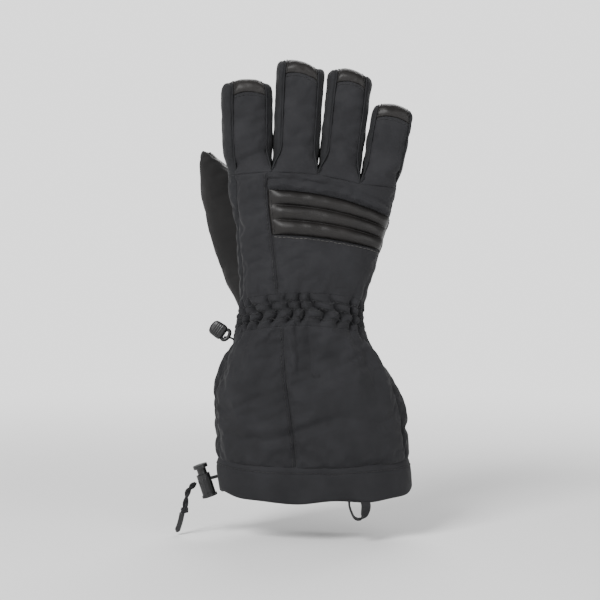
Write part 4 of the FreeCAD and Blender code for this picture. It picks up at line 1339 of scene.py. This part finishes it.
GUSSET_BACK, GUSSET_PALM = 0.80, 1.22
made, grid = cuff_panel("cuff_back_panel_thumb_side_skin", constant(-0.86), back_q(cuff_seam_x), 40, SHELL,
                        ["cuff_back_panel_thumb_side"], "left right low")
stitch_rows("cuff_back_seam_stitching", made, inset_lines(grid, ("right", 1.8)), THREAD_DARK, CUFF)
made, grid = cuff_panel("cuff_back_panel_little_side_skin", back_q(cuff_seam_x), constant(GUSSET_BACK), 64, SHELL,
                        ["cuff_back_panel_little_side"], "left right low")
made, grid = cuff_panel("cuff_gusset_little_side_skin", constant(GUSSET_BACK), constant(GUSSET_PALM), 26, DARK_SHELL,
                        ["cuff_gusset_little_side"], "left right low")
made, grid = cuff_panel("cuff_palm_panel_skin", constant(GUSSET_PALM), constant(2.86), 96, SHELL, ["cuff_palm_panel"],
                        "left right low")
made, grid = cuff_panel("cuff_gusset_thumb_side_skin", constant(2.86), constant(3.14), 20, DARK_SHELL,
                        ["cuff_gusset_thumb_side"], "left right low")


# ------------------------------------------------------------------ hem, lining and drawcord

HEM_LINES = 3.2
HEM_THICK = 5.2
HEM_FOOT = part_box("hem_band")[0][2] / MM


def hem_foot(q):
    """The hem's lower edge: it lifts a little at both sides."""
    turn = q * math.pi / 2
    return HEM_FOOT + 4.5 * np.sin(turn) ** 2 + 0.9 * np.sin(5 * turn + 0.7) + 0.6 * np.sin(9 * turn)


def hem_band():
    """The hem as a closed padded ring: outside, rounded lower edge, inside, and back to the top."""
    cols, rows = 300, 34
    q = np.linspace(-1, 3, cols, endpoint=False)
    Q, T = np.meshgrid(q, np.linspace(0, 1, rows))
    height = hem_top(Q) + 1.5 - hem_foot(Q)
    round_share = 0.16
    outside = T < 0.5 - round_share / 2
    inside = T > 0.5 + round_share / 2
    turn = np.clip((T - 0.5) / round_share + 0.5, 0, 1) * math.pi
    rise = np.where(outside, 1 - T / (0.5 - round_share / 2), np.where(inside, (T - 0.5 - round_share / 2) / (0.5 - round_share / 2), 0))
    z = hem_foot(Q) + HEM_THICK / 2 * (1 - np.sin(turn)) + rise * (height - HEM_THICK / 2)
    inset = HEM_THICK / 2 * (1 - np.cos(turn))
    grid = tube(Q, np.maximum(z, SLICE_Z[0]))
    grid[..., 2] = z
    out = tube_out(Q, np.maximum(z, SLICE_Z[0]))
    swell = 0.3 + 0.6 * ripple(grid, 30, seed=31)
    near_line = np.exp(-(((z - (hem_top(Q) - HEM_LINES)) / 1.2) ** 2))
    swell = swell - 0.7 * near_line - 1.9 * ramp(z, hem_top(Q) - 1.5, hem_top(Q) + 1)
    swell = np.where(outside | (turn < math.pi / 2), swell, 0.3)
    final = grid - out * inset[..., None] + out * swell[..., None]
    vertices = final[::-1].reshape(-1, 3)
    made = new_object("hem_band_skin", vertices, grid_faces(rows, cols, closed=True), SHELL)
    smooth_hem = made.modifiers.new("round", "SUBSURF")
    smooth_hem.levels = 1
    bake(made)
    joins(made, CUFF, "shell_fabric", "hem_band")
    q = np.linspace(-1, 3, 420)
    line = tube(q, hem_top(q) - HEM_LINES)
    away = tube_out(q, hem_top(q) - HEM_LINES)
    stitch_rows("hem_stitching", made, [(line + 3 * away, away)], THREAD_DARK, CUFF)


hem_band()


def hem_drawcord():
    """The cord inside the hem, following the cloth round the glove."""
    low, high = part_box("hem_drawcord")
    z = (low[2] + high[2]) / 2 / MM
    q = np.linspace(-1, 3, 260, endpoint=False)
    path = tube(q, np.full_like(q, z)) - CORD_INSET * tube_out(q, np.full_like(q, z))
    vertices, _ = tube_along(path, CORD_RADIUS, sides=8, ends=False)
    faces = grid_faces(len(path), 8, closed=True)
    last = (len(path) - 1) * 8
    faces += [(last + i, last + (i + 1) % 8, (i + 1) % 8, i) for i in range(8)]
    joins(new_object("hem_drawcord_skin", vertices, faces, CORD), CUFF, "cord", "hem_drawcord")


CORD_INSET, CORD_RADIUS = 2.4, 1.1
hem_drawcord()


def inner_tube(name, low, high, inset, material, slot, nodes, place, cols=220, rows=60, taper=0.0):
    """The fleece that lines the inside."""
    q, z = q_grid(constant(-1.0), constant(3.0), low, high, cols, rows)
    grid = tube(q, z)
    out = grid_normals(grid)
    soft = 0.5 * ripple(grid, 16, seed=len(name)) + 0.5 * gathers(q, z)
    final = grid - out * (inset - soft)[..., None]
    made = new_object(name, final.reshape(-1, 3), grid_faces(rows, cols), material)
    weld_points(made, 0.3)
    thicken(made, 0.8, levels=0)
    return joins(made, place, slot, *nodes)


WRIST_PLACE = (CUFF, HAND, BAND - [0, 0, 11], BAND + [0, 0, 11])
inner_tube("cuff_lining_skin", hem_top, lambda q: band_height(q) - 10, 4.2, FLEECE, "fleece", ["cuff_lining"], CUFF)
inner_tube("wrist_lining_skin", lambda q: band_height(q) - 12, lambda q: band_height(q) + 14, 4.6, FLEECE, "fleece", [],
           WRIST_PLACE, rows=20)
inner_tube("wrist_elastic_skin", lambda q: band_height(q) - 5, lambda q: band_height(q) + 5, 3.0, ELASTIC, "elastic",
           ["wrist_elastic"], WRIST_PLACE, rows=12)
inner_tube("hand_lining_skin", lambda q: band_height(q) + 12, lambda q: 0 * q + 226, 4.6, FLEECE, "fleece", [], HAND)

# ------------------------------------------------------------------ cords


STRANDS = 8
BRAID_PITCH = 5.0


def braid(path, radius):
    """A braided cord: strands wound both ways round a core, weaving over and under."""
    path = resample(path, 0.35)
    along = unit(np.gradient(path, axis=0))
    length = np.concatenate([[0], np.cumsum(np.linalg.norm(np.diff(path, axis=0), axis=1))])
    side = unit(np.cross(along[0], [0.31, 0.9, 0.2]))
    sides = []
    for t in along:
        side = unit(side - t * (side @ t))
        sides.append(side)
    sides = np.array(sides)
    others = np.cross(along, sides)
    pieces = [tube_along(path, radius * 0.72, sides=10)]
    for turn in (1, -1):
        for k in range(STRANDS // 2):
            angle = turn * TAU * length / BRAID_PITCH + k * TAU / (STRANDS // 2)
            r = radius * (0.80 + 0.07 * turn * np.sin(angle * STRANDS / 2))
            strand = path + r[:, None] * (np.cos(angle)[:, None] * sides + np.sin(angle)[:, None] * others)
            pieces.append(tube_along(strand, radius * 0.3, sides=5))
    return pieces


def box_mm(name):
    low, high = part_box(name)
    return np.array(low) / MM, np.array(high) / MM


CORD_R = 1.05
LOCK_TILT = math.radians(18)
LOCK_UP = np.array([-math.sin(LOCK_TILT), 0, math.cos(LOCK_TILT)])
LOCK_OUT = np.array([-math.cos(LOCK_TILT), 0, -math.sin(LOCK_TILT)])
EYE = joint_place("cord_tail_swing")


def doubled(points, gap=1.1, twists=0.0):
    """Two strands along one path, side by side or wound about each other."""
    path = smooth_path(points)
    level = np.array([0, 1.0, 0])
    square = np.cross(unit(np.gradient(path, axis=0)), level)
    angle = np.linspace(0, twists * TAU, len(path))[:, None]
    apart = gap * (np.cos(angle) * level + np.sin(angle) * square)
    return [path + side * apart for side in (-1, 1)]


lead_low, lead_high = box_mm("drawcord_lead")
lead_in = np.array([lead_high[0] - 0.5, 0, lead_high[2] - CORD_R])
lead_out = np.array([lead_low[0] + 0.5, 0, lead_low[2] + CORD_R])
lead = sum((braid(path, CORD_R) for path in doubled([lead_in, mix(lead_in, lead_out, 0.5) + [0, 0, 0.3], lead_out])), [])
joins(gather_meshes("drawcord_lead_skin", lead, CORD), (CUFF, "cord_lock", lead_in + [-1, 0, 0], lead_out + [3, 0, 0]), "cord",
      "drawcord_lead")

tail_low, tail_high = box_mm("cord_tail")
end_low, end_high = box_mm("cord_end_toggle")


def cord_tail():
    """The doubled cord hanging from the lock, its knot, and the heat-shrunk end."""
    top = np.array([tail_high[0] - 1.5, 0, tail_high[2] - CORD_R])
    foot = np.array([tail_low[0] + 2.7, 0, tail_low[2] + 1.5])
    middle = mix(top, foot, 0.45) + [-2.0, 0, 2.5]
    pieces = sum((braid(path, CORD_R) for path in doubled([top, middle, foot], twists=1.5)), [])
    angles = np.linspace(0, 2.2 * TAU, 70)
    wound = np.stack([1.9 * np.cos(angles), 1.9 * np.sin(angles), 1.3 * np.sin(1.6 * angles)], axis=1)
    pieces += braid(foot + wound, CORD_R * 0.9)
    joins(gather_meshes("cord_tail_skin", pieces, CORD), "cord_tail", "cord", "cord_tail")
    tip = np.array([end_low[0] + 2.0, 0, end_low[2] + 0.6])
    start = np.array([end_high[0] - 2.0, 0, end_high[2] - 0.4])
    path = resample(smooth_path([start, mix(start, tip, 0.5) + [0.4, 0, 0], tip]), 0.4)
    share = np.linspace(0, 1, len(path))
    radii = 2.1 * np.minimum(1, np.sqrt(np.clip((1 - share) / 0.12, 0.02, 1))) * np.minimum(1, 0.75 + share / 0.2)
    ribs = 1 - 0.07 * (np.sin(share * TAU * 7) ** 2) * ramp(share, 0.08, 0.2) * (1 - ramp(share, 0.7, 0.8))
    toggle = tube_along(path, radii * ribs, sides=20)
    joins(gather_meshes("cord_end_toggle_skin", [toggle], PLASTIC), "cord_tail", "moulded_plastic", "cord_end_toggle")


cord_tail()

# ------------------------------------------------------------------ hang loop


def strip(path, across, width, thick, name, material, ribs=5):
    """A woven tape along a path: across is the tape's width direction at each point."""
    path = np.asarray(path)
    along = unit(np.gradient(path, axis=0))
    across = unit(across - along * (across * along).sum(axis=1)[:, None])
    face = np.cross(along, across)
    count = 4 * ribs + 1
    v = np.linspace(-1, 1, count)
    swell = 1 + 0.22 * np.cos(v * math.pi * ribs) - 0.5 * abs(v) ** 8
    upper = path[:, None] + across[:, None] * (v * width / 2)[None, :, None] + face[:, None] * (swell * thick / 2)[None, :, None]
    lower = path[:, None] + across[:, None] * (v * width / 2)[None, :, None] - face[:, None] * (swell * thick / 2)[None, :, None]
    ring = np.concatenate([upper, lower[:, ::-1]], axis=1)
    rows, cols = ring.shape[:2]
    faces = grid_faces(rows, cols, closed=True)
    faces.append(tuple(range(cols))[::-1])
    faces.append(tuple((rows - 1) * cols + i for i in range(cols)))
    return new_object(name, ring.reshape(-1, 3), faces, material)


loop_low, loop_high = box_mm("hang_loop")


def hang_loop():
    """Tape sewn inside the hem that drops in a loop; it turns a quarter on its way back up."""
    middle = (loop_low + loop_high) / 2
    width = loop_high[1] - loop_low[1]
    foot = loop_low[2] + 0.8
    legs = [(-7.0, loop_high[2] + 4), (-6.6, foot + 9), (-3.5, foot + 1.6), (0.5, foot), (3.8, foot + 2.4), (5.4, foot + 9),
            (4.5, loop_high[2] + 4)]
    path = smooth_path([(middle[0] + x, middle[1], z) for x, z in legs], 100)
    turn = np.radians(80) * ramp(np.linspace(0, 1, 100), 0.45, 0.85)
    across = np.stack([np.sin(turn), np.cos(turn), 0 * turn], axis=1)
    made = strip(path, across, width, 1.3, "hang_loop_skin", WEBBING)
    joins(made, "hang_loop", "webbing", "hang_loop")


hang_loop()

# ------------------------------------------------------------------ moulded parts


def keep(name, material, slot, bevel):
    """Shows a CAD solid as it is, with softened edges and its finish."""
    solid = frame["nodes"][name]
    solid.data.materials.clear()
    solid.data.materials.append(material)
    soften = solid.modifiers.new("edges", "BEVEL")
    soften.width = bevel * MM
    soften.segments = 3
    soften.angle_limit = math.radians(35)
    soften.harden_normals = True


keep("cord_lock_barrel", PLASTIC, "moulded_plastic", 0.45)
keep("cord_lock_plunger", PLASTIC, "moulded_plastic", 0.5)


SPRING_R, SPRING_WIRE, SPRING_TURNS = 2.8, 0.35, 4.5


def lock_spring():
    """The coil under the plunger, tied to the button."""
    along = edges_of(["cord_lock_spring"]) @ LOCK_UP
    low, high = along.min() + SPRING_WIRE, along.max() - SPRING_WIRE
    corners = box_mm("cord_lock_spring")
    middle = (corners[0] + corners[1]) / 2
    axis_foot = middle - LOCK_UP * (middle @ LOCK_UP)
    share = np.linspace(0, 1, 240)[:, None]
    angle = share * SPRING_TURNS * TAU
    ring = SPRING_R * (np.cos(angle) * LOCK_OUT + np.sin(angle) * [0, 1.0, 0])
    coil = axis_foot + mix(low, high, share) * LOCK_UP + ring
    made = gather_meshes("cord_lock_spring_skin", [tube_along(coil, SPRING_WIRE, sides=10)], STEEL)
    joins(made, "lock_button", "spring_steel", "cord_lock_spring")
    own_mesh(made)


lock_spring()

BARREL_R = 5.1


def grip_ribs():
    """Raised ribs down the barrel, the moulding that fingers grip."""
    low, high = box_mm("cord_lock_barrel")
    foot = (low + high) / 2 - LOCK_UP * 8.0
    radius = BARREL_R
    pieces = []
    for k in range(14):
        angle = k * TAU / 14
        out = np.array([math.cos(angle), math.sin(angle), 0])
        side = LOCK_OUT * out[0] + np.array([0, 1.0, 0]) * out[1]
        if abs(side[1]) < 0.6:
            continue
        path = np.array([foot + side * radius + LOCK_UP * t for t in np.linspace(2.4, 14.2, 10)])
        pieces.append(tube_along(path, 0.42, sides=8))
    joins(gather_meshes("cord_lock_ribs", pieces, PLASTIC), "cord_lock", "moulded_plastic")


grip_ribs()


def clip_tab():
    """The short tape that ties the clip to the seam of the cuff."""
    low, high = box_mm("wrist_clip_tab")
    bar = joint_place("wrist_clip_flap")
    inner = (low + high) / 2 + [3.4, 0, -1.6]
    middle = (low + high) / 2
    span = np.linspace(0, 1, 30)
    path = smooth_path([inner, middle + [0, 0, 0.4], bar + [-1.9, 0, -1.3]], 30)
    across = np.tile([0.0, 1.0, 0.0], (30, 1))
    upper = strip(path, across, high[1] - low[1] - 0.4, 1.2, "wrist_clip_tab_skin", WEBBING, ribs=4)
    joins(upper, CUFF, "webbing", "wrist_clip_tab")


clip_tab()


CLIP_RIBS = 4


def wrist_clip():
    """The clip that pairs the gloves: a solid rounded body with grip ribs, and an eye for its tape."""
    low, high = box_mm("wrist_clip")
    bar = joint_place("wrist_clip_flap")
    away = unit((low + high) / 2 - bar)
    level = np.array([0, 1.0, 0])
    across = np.cross(away, level)
    body_w, body_t, start, stop = 12.5, 6.6, 1.2, 13.8
    angles = np.linspace(0, TAU, 36, endpoint=False)
    c, s = np.cos(angles), np.sin(angles)
    k = (abs(c) ** 4 + abs(s) ** 4) ** -0.25
    rings = []
    for t in np.linspace(0, 1, 60):
        ends = min(1, math.sqrt(max(0.02, 1 - (abs(2 * t - 1) ** 5))))
        rib = 0.32 * math.sin(math.pi * CLIP_RIBS * np.clip((t - 0.3) / 0.5, 0, 1)) ** 2
        width, thick = body_w / 2 * ends * (1 - 0.12 * t), (body_t / 2 - 0.3 + rib) * ends
        ring = bar + away * mix(start, stop, t) + (c * k * width)[:, None] * across + (s * k * thick)[:, None] * level
        rings.append(ring)
    faces = grid_faces(len(rings), len(angles), closed=True)
    last = (len(rings) - 1) * len(angles)
    faces += [tuple(range(len(angles)))[::-1], tuple(range(last, last + len(angles)))]
    eye = [bar + away * (0.6 + 2.6 * math.cos(a)) + across * 4.2 * math.sin(a) for a in np.linspace(0, TAU, 50)]
    pieces = [(np.concatenate(rings), faces), tube_along(eye, 1.4, sides=12)]
    joins(gather_meshes("wrist_clip_skin", pieces, PLASTIC), "wrist_clip", "moulded_plastic", "wrist_clip")


wrist_clip()

# ------------------------------------------------------------------ stage

GLOVE_MIDDLE = Vector((0.0, 0.0, 0.148))
VIEW_DISTANCE = 1.15
VIEW_HEIGHT = math.radians(2.5)


def area_light(name, place, size, power):
    data = bpy.data.lights.new(name, "AREA")
    data.shape = "RECTANGLE"
    data.size, data.size_y = size
    data.energy = power
    lamp = bpy.data.objects.new(name, data)
    bpy.context.scene.collection.objects.link(lamp)
    lamp.location = place
    lamp.rotation_euler = (GLOVE_MIDDLE - Vector(place)).to_track_quat("-Z", "Y").to_euler()
    return lamp


def floor_material():
    """Pale matt floor that fades into the white of the backdrop, so that no horizon shows."""
    material, tree, shader, where = base_material("stage_floor", (0.8, 0.8, 0.8), 0.9, specular=0.1)
    vary_color(tree, shader, where, (0.79, 0.79, 0.79), (0.81, 0.81, 0.81), 2.0)
    reach = node(tree, "ShaderNodeVectorMath", operation="LENGTH")
    link(tree, where, reach.inputs[0])
    fade = node(tree, "ShaderNodeMapRange", interpolation_type="SMOOTHSTEP")
    fade.inputs["From Min"].default_value, fade.inputs["From Max"].default_value = 0.25, 1.1
    link(tree, reach.outputs["Value"], fade.inputs["Value"])
    glow = node(tree, "ShaderNodeEmission", Color=(1, 1, 1, 1), Strength=BACKDROP)
    blend = node(tree, "ShaderNodeMixShader")
    link(tree, fade.outputs["Result"], blend.inputs[0])
    link(tree, shader.outputs[0], blend.inputs[1])
    link(tree, glow.outputs[0], blend.inputs[2])
    link(tree, blend.outputs[0], tree.nodes["Material Output"].inputs["Surface"])
    return material


def studio_world():
    """White behind the glove, and a weaker white that lights it."""
    world = bpy.data.worlds.new("studio")
    world.use_nodes = True
    tree = world.node_tree
    ray = node(tree, "ShaderNodeLightPath")
    level = node(tree, "ShaderNodeMapRange")
    level.inputs["To Min"].default_value, level.inputs["To Max"].default_value = AMBIENT, BACKDROP
    link(tree, ray.outputs["Is Camera Ray"], level.inputs["Value"])
    tree.nodes["Background"].inputs["Color"].default_value = (1, 1, 1, 1)
    link(tree, level.outputs["Result"], tree.nodes["Background"].inputs["Strength"])
    return world


AMBIENT = 0.36
BACKDROP = 1.8
FLOOR_REACH = 6.0


def stage():
    """A pale floor, soft lights all round, and the camera at the photograph's angle."""
    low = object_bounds()[0][2] - 0.002
    mesh = bpy.data.meshes.new("floor")
    corners = [(-1, -1), (1, -1), (1, 1), (-1, 1)]
    mesh.from_pydata([(x * FLOOR_REACH, y * FLOOR_REACH, low) for x, y in corners], [], [(0, 1, 2, 3)])
    mesh.materials.append(floor_material())
    floor = bpy.data.objects.new("floor", mesh)
    bpy.context.scene.collection.objects.link(floor)
    bpy.context.scene.world = studio_world()
    key = area_light("key", (-0.7, -1.0, 1.1), (0.6, 0.6), 34)
    fill = area_light("fill", (0.9, -0.9, 0.5), (0.8, 1.2), 9)
    rim = area_light("rim", (0.2, 1.1, 1.0), (1.2, 0.7), 16)
    camera_data = bpy.data.cameras.new("camera")
    camera_data.lens = 92
    camera = bpy.data.objects.new("camera", camera_data)
    bpy.context.scene.collection.objects.link(camera)
    away = Vector((0, -math.cos(VIEW_HEIGHT), math.sin(VIEW_HEIGHT)))
    camera.location = GLOVE_MIDDLE + away * VIEW_DISTANCE
    camera.rotation_euler = (-away).to_track_quat("-Z", "Y").to_euler()
    bpy.context.scene.camera = camera
    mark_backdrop(floor, key, fill, rim, camera)


stage()
